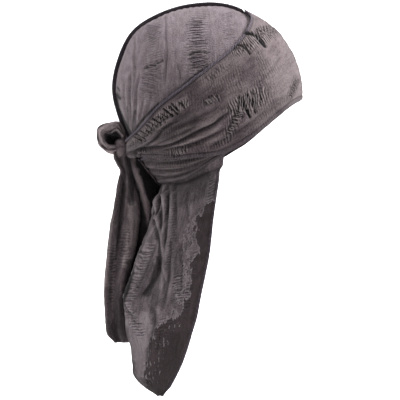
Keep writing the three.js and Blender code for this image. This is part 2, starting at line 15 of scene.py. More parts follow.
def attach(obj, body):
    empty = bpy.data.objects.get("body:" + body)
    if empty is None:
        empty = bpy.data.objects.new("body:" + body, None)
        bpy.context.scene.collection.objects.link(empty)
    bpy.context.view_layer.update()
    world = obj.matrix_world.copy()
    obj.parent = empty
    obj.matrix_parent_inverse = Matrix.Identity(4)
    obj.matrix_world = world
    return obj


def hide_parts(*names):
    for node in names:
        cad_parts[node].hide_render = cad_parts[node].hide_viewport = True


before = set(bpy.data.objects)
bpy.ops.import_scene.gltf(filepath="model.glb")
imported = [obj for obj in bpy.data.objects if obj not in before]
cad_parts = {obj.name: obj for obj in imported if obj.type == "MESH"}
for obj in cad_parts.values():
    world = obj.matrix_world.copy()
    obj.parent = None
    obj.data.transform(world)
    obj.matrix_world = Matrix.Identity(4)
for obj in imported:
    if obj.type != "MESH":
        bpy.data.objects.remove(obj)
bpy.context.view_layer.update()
bpy.ops.object.select_all(action="DESELECT")

MM = 0.001
# What is marked at each point of the cloth: ladders, bare backing, painted deep shade with real open holes,
# hems, and pale places, from washing and from painted highlights
MARKS = ("run", "bare", "deep", "hem", "pale")

# Driving sizes in millimetres, the same as in the part's source
FORM_LENGTH = 186.4
FORM_WIDTH = 152
CROWN_RISE = 86.6
CLOTH_WALL = 1.5
SEAM_FIN_HEIGHT = 4.4
SEAM_FIN_WIDTH = 2.4
KNOT_WIDTH = 22
KNOT_DEPTH = 15.6
KNOT_HEIGHT = 19.6
LOOP_LENGTH = 26
LOOP_HEIGHT = 20.5
LOOP_THICKNESS = 11
LOOP_WIDTH = 18
TIE_END_LENGTH = 206
TIE_END_WIDTH = 31.5
TIE_END_DEPTH = 24
CAPE_LENGTH = 234
CAPE_DEPTH = 80
CAPE_WIDTH = 124
CAPE_FOLD_DEPTH = 8
CAPE_LAP = 15
CAPE_SPRING = 9
PIECE_GAP = 0.35

# Lift of each layer's outer face off the form that the durag is tied on
CROWN_LIFT = 1.5
RIGHT_TIE_LIFT = 3.9
LEFT_TIE_LIFT = 6.3

RIGHT = 1
LEFT = -1

# Side outline of that form, every 20 degrees from the front over the top
OUTLINE_STEP = 20
OUTLINE_REACH = np.array([
    1.0, 0.984, 0.991, 0.983, 0.999, 0.995, 1.016, 1.051, 1.023,
    1.018, 1.003, 1.05, 1.171, 1.373, 1.476, 1.368, 1.18, 1.029,
])

# Lower edge of a crown panel, brow to nape: angle out from the side's middle, and round it
CROWN_EDGE = [
    (86, 353), (66.6, 350.3), (47.9, 334.8), (35.2, 312.9), (30.5, 284),
    (34.9, 270), (44.1, 259.2), (56.1, 250.4), (71.3, 243.3), (87, 240.5),
]
CROWN_BACK_TURN = 239
CROWN_FRONT_TURN = -5
FIN_FRONT_TURN = 69
# The raised seam runs on under the ties almost to the knot, where its dark cloth also stands in for the shade
# above the knot
FIN_BACK_TURN = 216
FIN_RUN_OUT = 4.5

# A tie's two edges, nape to knot: True on the tie's own side, then angle out and angle round
TIE_LOWER_EDGE = [
    (False, 84, 243), (True, 72.8, 246.6), (True, 47.2, 260.7), (True, 32.6, 281.9),
    (True, 37.0, 316), (True, 55, 342.5), (True, 67, 350.5), (True, 79, 353), (True, 90, 354),
    (False, 66.8, 350.1), (False, 55, 341.8), (False, 37.4, 316.6), (False, 31.2, 290.3),
    (False, 33.9, 265.3), (False, 48.3, 243), (False, 67.4, 229.5), (False, 87.5, 219.5),
]
TIE_UPPER_EDGE = [
    (False, 84, 227), (True, 64.1, 230.7), (True, 35.5, 257.1), (True, 25.8, 288.2),
    (True, 30, 325), (True, 44, 3), (True, 60, 33), (True, 76, 51), (True, 90, 67.5),
    (False, 70.8, 61.5), (False, 51.6, 58.6), (False, 30.9, 61.3), (False, 15.3, 80.8),
    (False, 12.8, 169.8), (False, 32, 199.9), (False, 52.8, 210.8), (False, 84, 213.6),
]

# Cape from nape to tip: share of its length down, then back, front and width as shares
CAPE_SECTIONS = np.array([
    (0, 0.05, 0.856, 1), (0.108, -0.027, 0.815, 0.984), (0.206, -0.113, 0.775, 0.952),
    (0.287, -0.198, 0.75, 0.919), (0.359, -0.27, 0.724, 0.887), (0.466, -0.335, 0.665, 0.839),
    (0.565, -0.455, 0.605, 0.758), (0.637, -0.45, 0.565, 0.694), (0.713, -0.427, 0.5, 0.597),
    (0.789, -0.34, 0.435, 0.484), (0.852, -0.29, 0.37, 0.371), (0.91, -0.27, 0.29, 0.258),
    (0.955, -0.15, 0.22, 0.16), (1.0, 0.04, 0.12, 0.07),
])

# Folds of the cape: share across at its top and bottom, from and to down it, width, depth
CAPE_FOLDS = [
    (-0.33, -0.33, 0.02, 0.32, 0.05, -0.55), (-0.47, -0.5, 0.02, 0.3, 0.05, -0.4),
    (-0.44, -0.2, 0.25, 0.62, 0.1, 0.9), (-0.6, -0.42, 0.33, 0.6, 0.11, -1.0),
    (0.36, 0.4, 0.02, 0.45, 0.06, -0.5), (0.58, 0.52, 0.05, 0.6, 0.08, -0.7),
    (0.8, 0.72, 0.2, 0.8, 0.08, -0.5), (0.06, 0.0, -0.06, 0.85, 0.2, -1.6),
]
CAPE_FOLD_ROOM = 0.25
FOLD_RUN_IN = 0.25
FOLD_RUN_OUT = 0.33

# Near the knot a tie lifts off the form and runs out to it, most of all along its lower edge
KNOT_PULL = 10
KNOT_PULL_FROM = 0.93
NEAR_EDGE_PULL = 0.25
FAR_EDGE_PULL = 1.35

# The knot's place: how far round the form, and shares of its depth and height
KNOT_TURN = 217
KNOT_SEAT_DEPTH = 0.97
KNOT_DROP = 0.16

# The loop: its middle's place from the knot as shares of its size, then for each angle from the
# front its reach, thickness and width as shares
LOOP_PLACE = (-0.31, 0.5)
LOOP_FLAT = 0.14
LOOP_CLOSING = 0.92
LOOP_SECTIONS = np.array([
    (-44, 0.6, 0.6, 0.6), (-12, 0.74, 0.7, 0.66), (18, 0.74, 0.72, 0.74), (45, 0.8, 0.78, 0.84),
    (60, 0.94, 0.95, 0.9), (78, 1.14, 1.2, 0.94), (108, 1.0, 1.3, 1), (143, 1.13, 1.15, 1),
    (182, 0.98, 1.0, 0.98), (230, 1.02, 1.0, 0.94), (270, 1.03, 1.04, 0.88), (302, 1, 0.95, 0.8),
    (328, 0.86, 0.8, 0.74),
])

# Tie end behind, from the knot down: share down, then left, right and fold depth as shares
BACK_END_SECTIONS = np.array([
    (0.02, -0.27, 0.2, 0.85), (0.05, -0.26, 0.24, 0.85), (0.085, -0.15, 0.28, 0.7),
    (0.115, -0.04, 0.3, 0.55), (0.15, -0.08, 0.34, 0.55), (0.232, -0.17, 0.517, 0.7),
    (0.308, -0.27, 0.6, 0.85),
    (0.384, -0.37, 0.56, 1), (0.527, -0.47, 0.42, 1), (0.679, -0.57, 0.16, 0.95),
    (0.781, -0.575, 0.02, 0.9), (0.883, -0.54, 0.06, 0.85), (0.949, -0.48, 0.12, 0.8),
    (0.99, -0.24, 0.16, 0.6),
])
# Its fold seen from above: along its width, and aside
BACK_END_FOLD = [
    (0.9, 0.42), (1.0, 0.0), (0.93, -0.42), (0.72, -0.5), (0.48, -0.14), (0.26, -0.1),
    (0.1, -0.36), (0.0, -0.1), (0.08, 0.3), (0.35, 0.5), (0.68, 0.46),
]

# Tie end at the side: share down, left, right, crest, then near and far places across
SIDE_END_SECTIONS = np.array([
    (0.062, 0.28, 0.54, 0.38, -0.29, 0.56), (0.12, 0.36, 0.84, 0.54, -0.42, 1.04),
    (0.186, 0.44, 1.16, 0.7, -0.46, 1.22), (0.257, 0.52, 1.22, 0.84, -0.42, 1.2),
    (0.323, 0.54, 1.08, 0.9, -0.34, 1.1), (0.399, 0.48, 0.92, 0.82, -0.16, 1.0),
    (0.501, 0.32, 0.68, 0.55, 0.1, 1.05), (0.628, 0.04, 0.5, 0.32, 0.66, 1.15),
    (0.756, -0.18, 0.2, 0.05, 0.75, 1.25),
])
SIDE_END_CREST = 1.5

# Folds, ladders and holes are set out on a side view ruled in squares of 1.05 mm, counted from
# its upper left corner, forward to the right and down.
SIDE_SQUARE = 1.05
SIDE_CORNER = (-218.4, 7.9)

# A fold's swells lie this many of its widths from its groove, and are this many wide. A groove of
# the dark depth, in millimetres, lets no light in.
SWELL_PLACE = 2.5
SWELL_WIDTH = 1.7
DARK_GROOVE = 2.2
# How pale a painted highlight makes a raised fold, and how dark painted shade makes a groove
FOLD_HIGHLIGHT = 0.55
GROOVE_SHADE = 0.6

# Loose threads of a ladder: points along each, how far one bows aside in squares, and how far in
# millimetres its middle stands off the cloth and its ends run into it
THREAD_POINTS = 9
THREAD_BOW = 1.2
THREAD_LIFT = 0.9
THREAD_SUNK = 0.35
# How far a slit bows aside, in squares, and how unevenly wide it is
SLIT_BOW = 1.3
SLIT_UNEVEN = 0.1

# Columns and rows of points of each sheet, closer together on the side that the camera sees
CROWN_GRID = {RIGHT: (350, 130), LEFT: (200, 70)}
TIE_GRID = {RIGHT: (300, 80), LEFT: (480, 102)}
KNOT_GRID = (120, 72)
LOOP_GRID = (72, 120)
BACK_END_GRID = (130, 170)
SIDE_END_GRID = (74, 150)
CAPE_GRID = (230, 190)
FIN_POINTS = 620
# Lowest and highest rise of the cloth, in millimetres
CROWN_RISES = (-1.2, 1.9)
OVER_TIE_RISES = (-2.2, 4.4)
UNDER_TIE_RISES = (-1.4, 1.6)
# How far the cloth sinks at an open hole of a tie, and the widths of the hems
HOLE_SINK = 1.6
TIE_LOWER_HEM = 4.2
TIE_UPPER_HEM = 2.5
CAPE_HEM = 3.0
END_HEM = (2.4, 3.2)
# Radii of the threads
CROWN_THREAD_RADIUS = 0.32
TIE_THREAD_RADIUS = 0.42
STITCH_RADIUS = 0.28
# How far the marks of the far side are moved, in squares
FAR_CROWN_SHIFT = (5.0, -4.0)
FAR_CAPE_SHIFT = (4.0, 7.0)


# Shape helpers

def cubic(before, start, end, after, share):
    square, cube = share ** 2, share ** 3
    return (start * (2 * cube - 3 * square + 1) + (end - before) / 2 * (cube - 2 * square + share)
            + end * (3 * square - 2 * cube) + (after - start) / 2 * (cube - square))


def smooth(low, high, value):
    share = np.clip((value - low) / (high - low), 0, 1)
    return share * share * (3 - 2 * share)


def sections(rows, down, column):
    """One column of a section table, read smoothly at places down the piece."""
    last = len(rows) - 1
    i = np.clip(np.searchsorted(rows[:, 0], down) - 1, 0, last - 1)
    share = np.clip((down - rows[i, 0]) / (rows[i + 1, 0] - rows[i, 0]), 0, 1)
    before, after = np.maximum(i - 1, 0), np.minimum(i + 2, last)
    return cubic(rows[before, column], rows[i, column], rows[i + 1, column], rows[after, column], share)


def rounded(points, share):
    """Places on the smooth curve through some points, at shares of its length from 0 to 1."""
    points = np.array(points, float)
    share = np.asarray(share, float)
    place = np.clip(share, 0, 1) * (len(points) - 1)
    i = np.minimum(place.astype(int), len(points) - 2)
    w = (place - i)[..., None]
    ends = np.vstack([2 * points[0] - points[1], points, 2 * points[-1] - points[-2]])
    p = [ends[i + k] for k in range(4)]
    length = [np.linalg.norm(p[k + 1] - p[k], axis=-1, keepdims=True) for k in range(3)]
    gap = [np.maximum(np.sqrt(one), 1e-4) for one in length]
    lean = [
        ((p[k + 1] - p[k]) / gap[k] - (p[k + 2] - p[k]) / (gap[k] + gap[k + 1])
         + (p[k + 2] - p[k + 1]) / gap[k + 1]) * gap[1]
        for k in range(2)
    ]
    return (p[1] + lean[0] * w + (3 * (p[2] - p[1]) - 2 * lean[0] - lean[1]) * w ** 2
            + (2 * (p[1] - p[2]) + lean[0] + lean[1]) * w ** 3)


def direction(side, out, turn):
    out, turn = np.radians(out), np.radians(turn)
    aside = -side * np.cos(out) + 0 * turn
    return np.stack([np.sin(out) * np.cos(turn), aside, np.sin(out) * np.sin(turn)], -1)


def unit(vectors):
    return vectors / np.maximum(np.linalg.norm(vectors, axis=-1, keepdims=True), 1e-9)


def between(start, end, share):
    """Directions a share of the way round from one to another."""
    angle = np.arccos(np.clip(np.sum(start * end, -1), -1, 1))[..., None]
    share = share[..., None]
    mixed = start * np.sin((1 - share) * angle) + end * np.sin(share * angle)
    return mixed / np.maximum(np.sin(angle), 1e-6)


def outline_reach(turn):
    place = np.degrees(turn) % 360 / OUTLINE_STEP
    i = np.floor(place).astype(int)
    at = [OUTLINE_REACH[(i + k) % len(OUTLINE_REACH)] for k in (-1, 0, 1, 2)]
    return cubic(*at, place - i)


def on_form(toward, lift):
    """Places on the form in some directions, lifted off it."""
    turn = np.arctan2(toward[..., 2], toward[..., 0])
    reach = outline_reach(turn)
    along_x = FORM_LENGTH / 2 * reach * np.cos(turn)
    along_z = CROWN_RISE * reach * np.sin(turn)
    flat = np.hypot(toward[..., 0], toward[..., 2])
    grown = 1 + lift / np.hypot(along_x, along_z)
    return np.stack([
        along_x * grown * flat, (FORM_WIDTH / 2 + lift) * toward[..., 1], along_z * grown * flat - CROWN_RISE,
    ], -1)


def normals(points):
    """Outward side of a grid of places, whichever way round it was made."""
    across = np.gradient(points, axis=0)
    down = np.gradient(points, axis=1)
    return unit(np.cross(across, down))


def noise(points, size, seed):
    """Smooth noise from -1 to 1 whose bumps have the given size, the same on every run."""
    place = points / size + seed * 7.3
    cell = np.floor(place)
    share = place - cell
    share = share * share * (3 - 2 * share)
    total = 0
    for corner in itertools.product((0, 1), repeat=3):
        corner = np.array(corner)
        weight = np.prod(np.where(corner, share, 1 - share), axis=-1)
        mixed = (cell + corner) @ np.array([12.9898, 78.233, 37.719]) + seed
        total = total + weight * np.modf(np.abs(np.sin(mixed)) * 43758.5453)[0]
    return 2 * total - 1


# Marks set out on the side view

def side_places(points):
    """A point's place on the side view, in squares."""
    return np.stack([(points[..., 0] - SIDE_CORNER[0]) / SIDE_SQUARE,
                     (SIDE_CORNER[1] - points[..., 2]) / SIDE_SQUARE], -1)


def near_path(places, path):
    """Distance to a path in squares, positive on its upper side, and the share along it."""
    path = rounded(path, np.linspace(0, 1, 6 * len(path)))
    steps = np.linalg.norm(np.diff(path, axis=0), axis=1)
    travelled = np.concatenate([[0], np.cumsum(steps)])
    best = np.full(places.shape[:-1], 1e9)
    above = np.ones_like(best)
    along = np.zeros_like(best)
    for i, length in enumerate(steps):
        step = path[i + 1] - path[i]
        from_start = places - path[i]
        share = np.clip(from_start @ step / length ** 2, 0, 1)
        gap = from_start - share[..., None] * step
        distance = np.hypot(gap[..., 0], gap[..., 1])
        closer = distance < best
        turn = step[1] * from_start[..., 0] - step[0] * from_start[..., 1]
        above = np.where(closer, np.sign(turn), above)
        along = np.where(closer, (travelled[i] + share * length) / travelled[-1], along)
        best = np.where(closer, distance, best)
    return best * np.where(above == 0, 1, above), along


def creases(places, rows):
    """Rise of the cloth at folds, and the painted shade of each fold's groove. A row is a path, its width
    in squares, the depth of the groove and the swell of the cloth above and below it, in
    millimetres."""
    rise = np.zeros(places.shape[:-1])
    shade = np.zeros(places.shape[:-1])
    for path, width, groove, swell_above, swell_below in rows:
        gap, along = near_path(places, path)
        fade = smooth(0, 0.1, along) * (1 - smooth(0.72, 1, along))
        line = np.exp(-(gap / width) ** 2)
        rise -= fade * groove * line
        rise += fade * swell_above * np.exp(-((gap - SWELL_PLACE * width) / (SWELL_WIDTH * width)) ** 2)
        rise += fade * swell_below * np.exp(-((gap + SWELL_PLACE * width) / (SWELL_WIDTH * width)) ** 2)
        shade = np.maximum(shade, fade * min(1, groove / DARK_GROOVE) * line ** 1.6)
    return rise, shade


def patches(places, rows, uneven=0.3):
    """Strength of marks from 0 to 1: each row is a path, its half width in squares, strength."""
    strength = np.zeros(places.shape[:-1])
    for path, half, most in rows:
        gap, along = near_path(places, path)
        ragged = half * (1 + uneven * noise(np.stack([places[..., 0], places[..., 1], 0 * gap], -1), 3.5, 11))
        edge = 1 - smooth(0.55, 1.1, np.abs(gap) / ragged)
        strength = np.maximum(strength, most * edge)
    return strength


def slits(rows, seed):
    """Open slits across ladders, as rows for patches. A row is the path of a ladder, half the
    length of its slits, how many there are, how far they lean forward, half width and strength."""
    chance = np.random.default_rng(seed)
    made = []
    for path, half, count, lean, width, most in rows:
        shares = (np.arange(count) + chance.uniform(0.25, 0.75, count)) / count
        middle, across, ahead = ladder_frame(path, shares, lean)
        for k in range(count):
            reach = half * chance.uniform(0.45, 1.1)
            bow = ahead[k] * chance.uniform(-0.5, 0.5) * SLIT_BOW
            aside = across[k] * half * chance.uniform(-0.25, 0.25)
            made.append(([middle[k] + aside - across[k] * reach, middle[k] + aside + bow,
                          middle[k] + aside + across[k] * reach],
                         width * chance.uniform(0.75, 1.25), most * chance.uniform(0.65, 1)))
    return made


def ladder_frame(path, shares, lean):
    """Places along a ladder in squares, and the directions across it and ahead along it."""
    ahead = unit(rounded(path, shares + 0.01) - rounded(path, shares - 0.01))
    across = unit(np.stack([-ahead[:, 1], ahead[:, 0]], -1) + lean * ahead)
    return rounded(path, shares), across, ahead


def on_cloth(piece, places, lift):
    """Places in millimetres on the near face of a piece, under points of the side view, lifted
    off the cloth."""
    count = len(piece.data.vertices)
    corners, facings = np.zeros(3 * count), np.zeros(3 * count)
    piece.data.vertices.foreach_get("co", corners)
    piece.data.vertices.foreach_get("normal", facings)
    corners, facings = corners.reshape(-1, 3) / MM, facings.reshape(-1, 3)
    near = np.flatnonzero(corners[:, 1] < 0)
    tree = KDTree(len(near))
    for k in near:
        tree.insert((corners[k, 0], 0, corners[k, 2]), int(k))
    tree.balance()
    flat = np.stack([places[..., 0] * SIDE_SQUARE + SIDE_CORNER[0],
                     SIDE_CORNER[1] - places[..., 1] * SIDE_SQUARE], -1)
    found = np.zeros((*places.shape[:-1], 3))
    for spot in np.ndindex(places.shape[:-1]):
        nearest = tree.find_n((flat[spot][0], 0, flat[spot][1]), 4)
        picked = [k for _, k, _ in nearest]
        weight = np.array([1 / (gap + 0.05) for _, _, gap in nearest])[:, None]
        place = (corners[picked] * weight).sum(0) / weight.sum()
        facing = unit((facings[picked] * weight).sum(0))
        found[spot] = np.array([flat[spot][0], place[1], flat[spot][1]]) + facing * lift[spot]
    return found


def ladder_threads(name, piece, rows, radius, seed):
    """Loose threads across the ladders. A row is the path of a ladder in squares of the side view,
    half the length of its threads, how many there are, and how far they lean forward."""
    chance = np.random.default_rng(seed)
    threads = []
    for path, half, count, lean in rows:
        shares = (np.arange(count) + chance.uniform(0.2, 0.8, count)) / count
        middle, across, ahead = ladder_frame(path, shares, lean)
        reach = half * chance.uniform(0.55, 1.15, count)
        along = np.linspace(-1, 1, THREAD_POINTS)
        bow = chance.uniform(-0.5, 0.5, count)
        threads.append(middle[:, None] + across[:, None] * (reach[:, None] * along)[..., None]
                       + ahead[:, None] * (bow[:, None] * (1 - along ** 2) * THREAD_BOW)[..., None])
    places = np.concatenate(threads)
    along = np.linspace(-1, 1, THREAD_POINTS)
    lift = (THREAD_LIFT * (1 - along ** 4) - THREAD_SUNK)[None, :] * np.ones((len(places), 1))
    return strands(name, on_cloth(piece, places, lift), radius)


def paint_fold_light(marks, rise):
    """Adds painted light to the marks: painted highlights on raised folds, painted shade in grooves."""
    marks["pale"] = np.maximum(marks["pale"], FOLD_HIGHLIGHT * smooth(0.3, 1.9, rise))
    marks["deep"] = np.maximum(marks["deep"], GROOVE_SHADE * smooth(0.3, 2.0, -rise))
    return marks


def beyond(places, edge):
    """1 on the forward side of an edge that runs down the side view, 0 on the other side."""
    gap, _ = near_path(places, edge)
    return smooth(-4.5, 4.5, gap)


# Meshes

def make_mesh(name, points, faces, uv=None, marks=None):
    """A mesh object from places in millimetres. uv is a place on the flat cloth for each vertex,
    in millimetres, and marks holds named values for each vertex."""
    mesh = bpy.data.meshes.new(name)
    mesh.from_pydata((np.asarray(points) * MM).tolist(), [], [list(map(int, f)) for f in faces])
    if uv is not None:
        corners = np.zeros(len(mesh.loops), int)
        mesh.loops.foreach_get("vertex_index", corners)
        layer = mesh.uv_layers.new(name="cloth")
        layer.data.foreach_set("uv", np.asarray(uv, np.float32)[corners].ravel())
    for title, values in (marks or {}).items():
        made = mesh.attributes.new(title, "FLOAT", "POINT")
        made.data.foreach_set("value", np.asarray(values, np.float32).ravel())
    mesh.update()
    piece = bpy.data.objects.new(name, mesh)
    bpy.context.collection.objects.link(piece)
    for face in mesh.polygons:
        face.use_smooth = True
    return piece


def grid_faces(columns, rows, turned=False, closed=False):
    i, j = np.meshgrid(np.arange(columns if closed else columns - 1), np.arange(rows - 1), indexing="ij")
    a, b = i * rows + j, (i + 1) % columns * rows + j
    quads = np.stack([a, b, b + 1, a + 1], -1).reshape(-1, 4)
    return quads[:, ::-1] if turned else quads


def flat_places(points):
    """Where each point of a grid lies on the flat cloth: mean lengths along and across it."""
    along = np.linalg.norm(np.diff(points, axis=0), axis=-1)
    across = np.linalg.norm(np.diff(points, axis=1), axis=-1)
    u = np.concatenate([[0], np.cumsum(along.mean(1))])
    v = np.concatenate([[0], np.cumsum(across.mean(0))])
    return np.stack(np.meshgrid(u, v, indexing="ij"), -1)


def wall(piece, thickness):
    """The cloth's thickness, taken inward from the outer face."""
    made = piece.modifiers.new("cloth wall", "SOLIDIFY")
    made.thickness = thickness * MM
    made.offset = -1
    made.use_even_offset = False


def cloth_piece(name, points, outward, marks, ladder_across=False, closed=False, flat=None):
    """A sheet from a grid of places whose outer side faces the way outward points. A closed one
    joins its last column to its first."""
    turned = np.sum(normals(points) * outward) < 0
    uv = flat_places(points) if flat is None else flat
    if ladder_across:
        uv = uv[..., ::-1]
    columns, rows = points.shape[:2]
    faces = grid_faces(columns, rows, turned, closed)
    piece = make_mesh(name, points.reshape(-1, 3), faces, uv.reshape(-1, 2), marks)
    wall(piece, CLOTH_WALL)
    return piece


def fine_edges(count, edge_share, edge_rows):
    """Shares from 0 to 1, closer together near both edges, where the hems are."""
    edge = np.linspace(0, edge_share, edge_rows, endpoint=False)
    middle = np.linspace(edge_share, 1 - edge_share, count - 2 * edge_rows)
    return np.concatenate([edge, middle, 1 - edge[::-1]])


def edge_distance(points):
    """Distance of each point of a grid, over the cloth, from its first and its last row."""
    steps = np.linalg.norm(np.diff(points, axis=1), axis=-1)
    first = np.concatenate([np.zeros((len(points), 1)), np.cumsum(steps, axis=1)], axis=1)
    return first, first[:, -1:] - first


def hem(distance, width):
    """Rise and mark of a turned and overlocked hem, and the mark of the dent at its stitch line."""
    inside = 1 - smooth(width - 0.4, width + 0.4, distance)
    dent = np.exp(-((distance - width - 0.6) / 0.7) ** 2)
    rise = 0.55 * inside * smooth(0, 0.9, distance + 0.2) - 0.55 * dent
    return rise, inside, dent


def strands(name, paths, radius, sides=5):
    """Many thin threads in one mesh. Each path has the same number of places."""
    paths = np.asarray(paths, float)
    count, length = paths.shape[:2]
    ahead = unit(np.gradient(paths, axis=1))
    up = np.where(np.abs(ahead[..., 2:]) < 0.8, np.array([0.0, 0.0, 1.0]), np.array([0.0, 1.0, 0.0]))
    aside = unit(np.cross(ahead, up))
    above = np.cross(aside, ahead)
    turn = np.linspace(0, 2 * math.pi, sides, endpoint=False)
    taper = np.ones(length)
    taper[[0, -1]] = 0.25
    ring = (np.cos(turn)[:, None] * aside[:, :, None] + np.sin(turn)[:, None] * above[:, :, None])
    points = paths[:, :, None] + ring * (radius * taper)[None, :, None, None]
    quads = []
    for i in range(length - 1):
        for j in range(sides):
            a, b = i * sides + j, i * sides + (j + 1) % sides
            quads.append([a, b, b + sides, a + sides])
    last = (length - 1) * sides
    caps = [[j for j in range(sides)][::-1], [last + j for j in range(sides)]]
    faces = []
    for k in range(count):
        start = k * length * sides
        faces += [[start + v for v in face] for face in quads + caps]
    return make_mesh(name, points.reshape(-1, 3), faces)


# The cloth's marks, in squares of the side view

# Folds of the crown, gathered to the point where the two ties part above the knot
CROWN_CREASES = [
    ([(165, 12), (166, 28), (166.5, 42), (168.5, 54), (167, 70), (166, 96)], 0.9, 1.0, 0.3, 0.2),
    ([(135, 34), (135.5, 56), (136, 78), (133, 106)], 1.0, 0.9, 0.3, 0.3),
    ([(130.5, 131), (127, 114), (125, 94), (126, 76)], 1.3, 0.9, 0.5, 0.4),
    ([(133, 133), (131.5, 114), (131, 92), (133, 68)], 1.4, 1.2, 0.6, 0.5),
    ([(135.5, 134), (137, 112), (138, 92), (141, 74)], 1.4, 1.1, 0.5, 0.5),
    ([(138, 130), (142, 116), (145, 98)], 1.2, 0.8, 0.4, 0.3),
    ([(143, 124), (150, 107), (155, 90)], 1.3, 0.7, 0.4, 0.3),
    ([(120, 76), (130, 72), (142, 70)], 2.0, 0.4, 0.4, 0.2),
    ([(145, 71), (154, 68), (164, 63)], 1.0, 0.6, 0.6, 0.2),
    ([(148, 74), (157, 72), (166, 66)], 1.0, 0.4, 0.3, 0.2),
    ([(186, 60), (196, 56), (208, 57)], 0.9, 0.7, 0.5, 0.2),
    ([(188, 64), (198, 61), (207, 61)], 0.9, 0.5, 0.3, 0.2),
    ([(187, 71), (198, 67), (210, 65)], 1.0, 0.6, 0.4, 0.2),
    ([(190, 84), (204, 74), (216, 64)], 1.4, 0.7, 0.4, 0.3),
    ([(166, 30), (167, 56), (167, 84)], 1.5, 0.45, 0.3, 0.2),
    ([(178, 66), (180, 74), (181, 84)], 1.2, 0.5, 0.3, 0.2),
    ([(214, 18), (217, 34), (219, 52)], 1.6, 0.4, 0.3, 0.2),
    ([(226, 16), (230, 28), (232, 40)], 1.6, 0.35, 0.25, 0.2),
    ([(142, 40), (152, 33), (163, 27)], 1.2, 0.45, 0.35, 0.2),
    ([(140, 52), (138, 66), (137, 84)], 1.5, 0.4, 0.3, 0.2),
]
CROWN_LADDERS = [
    ([(198, 20), (197, 40), (198, 72)], 13, 0.3),
    ([(198, 54), (199, 62), (200, 70)], 10, 0.35),
    ([(154, 22), (153, 34), (151, 42)], 10, 0.3),
    ([(156, 60), (154, 72), (150, 96)], 11, 0.25),
    ([(226, 14), (229, 28), (230, 44)], 8, 0.15),
    ([(130, 84), (131, 100), (134, 122)], 5, 0.15),
    ([(119, 88), (119.5, 94), (120, 99)], 2.2, 0.6),
]
# Short open slits in the crown, and the shade in its gathered corner
CROWN_SLITS = [
    ([(190, 58.5), (198, 56), (209, 56.5)], 0.95, 0.95),
    ([(189, 63), (197, 60.5), (205, 61)], 0.78, 0.45),
    ([(192, 71), (199, 68.5), (208, 67)], 1.01, 0.6),
    ([(190, 66), (198, 64), (206, 64)], 0.7, 0.35),
    ([(181, 45), (189, 42), (198, 40)], 0.85, 0.3),
    ([(146, 70.5), (155, 68.3), (164, 63.8)], 1.0, 0.9),
    ([(146, 38), (154, 37), (162, 35)], 0.85, 0.3),
    ([(144, 30), (152, 28), (160, 24)], 0.85, 0.25),
    ([(178, 68), (180, 75), (181, 83)], 0.85, 0.4),
    ([(192, 82), (203, 74), (214, 66)], 1.15, 0.55),
]
# Painted shade in the corner between the raised seam and the wraps
CROWN_CORNER_SHADE = [
    ([(117, 95), (119, 97.5), (121, 99)], 1.8, 0.95),
    ([(118, 88), (119.5, 90), (121, 92)], 1.1, 0.85),
    ([(116, 100), (118, 108), (122, 117), (127, 127), (132, 137)], 3.0, 0.95),
    ([(132, 137), (140, 125.5), (149, 115.5), (159, 106.5)], 1.7, 0.9),
    ([(159, 106.5), (174, 95.5), (189, 83.5), (203, 72.5)], 1.2, 0.65),
    ([(130, 132), (129, 120), (128, 108)], 1.3, 0.6),
    ([(133, 134), (134, 122), (136, 112)], 1.2, 0.6),
]
# Threads that catch the light beside the widest slits
CROWN_PALE = [
    ([(147, 73), (155, 70.8), (163, 66.8)], 1.1, 0.9),
    ([(190, 60.8), (198, 58.4), (208, 58.8)], 0.9, 0.5),
    ([(150, 78), (158, 76), (164, 74)], 0.9, 0.5),
]
CROWN_SLIT_RUNS = [
    ([(198, 20), (197, 40), (198, 52)], 9, 13, 0.08, 0.75, 0.42),
    ([(198, 53), (199, 62), (200, 72)], 9, 6, 0.1, 0.85, 0.65),
    ([(154, 24), (153, 34), (151, 44)], 8, 8, -0.15, 0.75, 0.45),
    ([(155, 62), (154, 76), (150, 96)], 8, 11, -0.12, 0.8, 0.5),
    ([(226, 14), (229, 28), (230, 44)], 6, 7, 0.1, 0.7, 0.35),
]

# Folds of the wide tie from the knot forward over the side of the crown
WRAP_CREASES = [
    ([(128, 150), (137, 149), (150, 144), (158, 138), (163, 131), (170, 126), (184, 120)],
     1.3, 2.0, 1.3, 0.6),
    ([(129, 151), (140, 149.5), (160, 147.5), (172, 145), (180, 142), (190, 137), (200, 132),
      (212, 127), (222, 119), (232, 112), (241, 105)], 1.5, 2.9, 1.9, 1.0),
    ([(131, 147), (143, 140), (156, 129), (168, 119), (182, 112)], 1.1, 1.1, 0.6, 0.7),
    ([(150, 147), (168, 141), (186, 133), (202, 126)], 1.4, 1.3, 0.9, 0.7),
    ([(158, 152), (176, 149), (196, 144), (214, 136), (230, 127)], 1.5, 1.7, 1.3, 0.9),
    ([(172, 131), (188, 124), (206, 116), (224, 106)], 1.7, 1.0, 0.9, 0.6),
    ([(196, 104), (212, 97), (230, 90), (246, 80)], 2.0, 0.5, 0.4, 0.3),
    ([(206, 150), (220, 143), (238, 133), (256, 119), (276, 105)], 1.7, 1.2, 0.8, 0.7),
    ([(240, 132), (256, 121), (272, 109), (288, 96)], 1.3, 0.6, 0.5, 0.3),
    ([(262, 82), (272, 70), (281, 56)], 2.2, 0.6, 0.4, 0.3),
    ([(222, 56), (229, 50), (236, 44)], 1.1, 0.8, 0.6, 0.3),
    ([(196, 80), (208, 72), (224, 60)], 1.2, 0.5, 0.4, 0.3),
    ([(288, 100), (293, 90), (297, 80)], 1.2, 0.6, 0.4, 0.3),
]
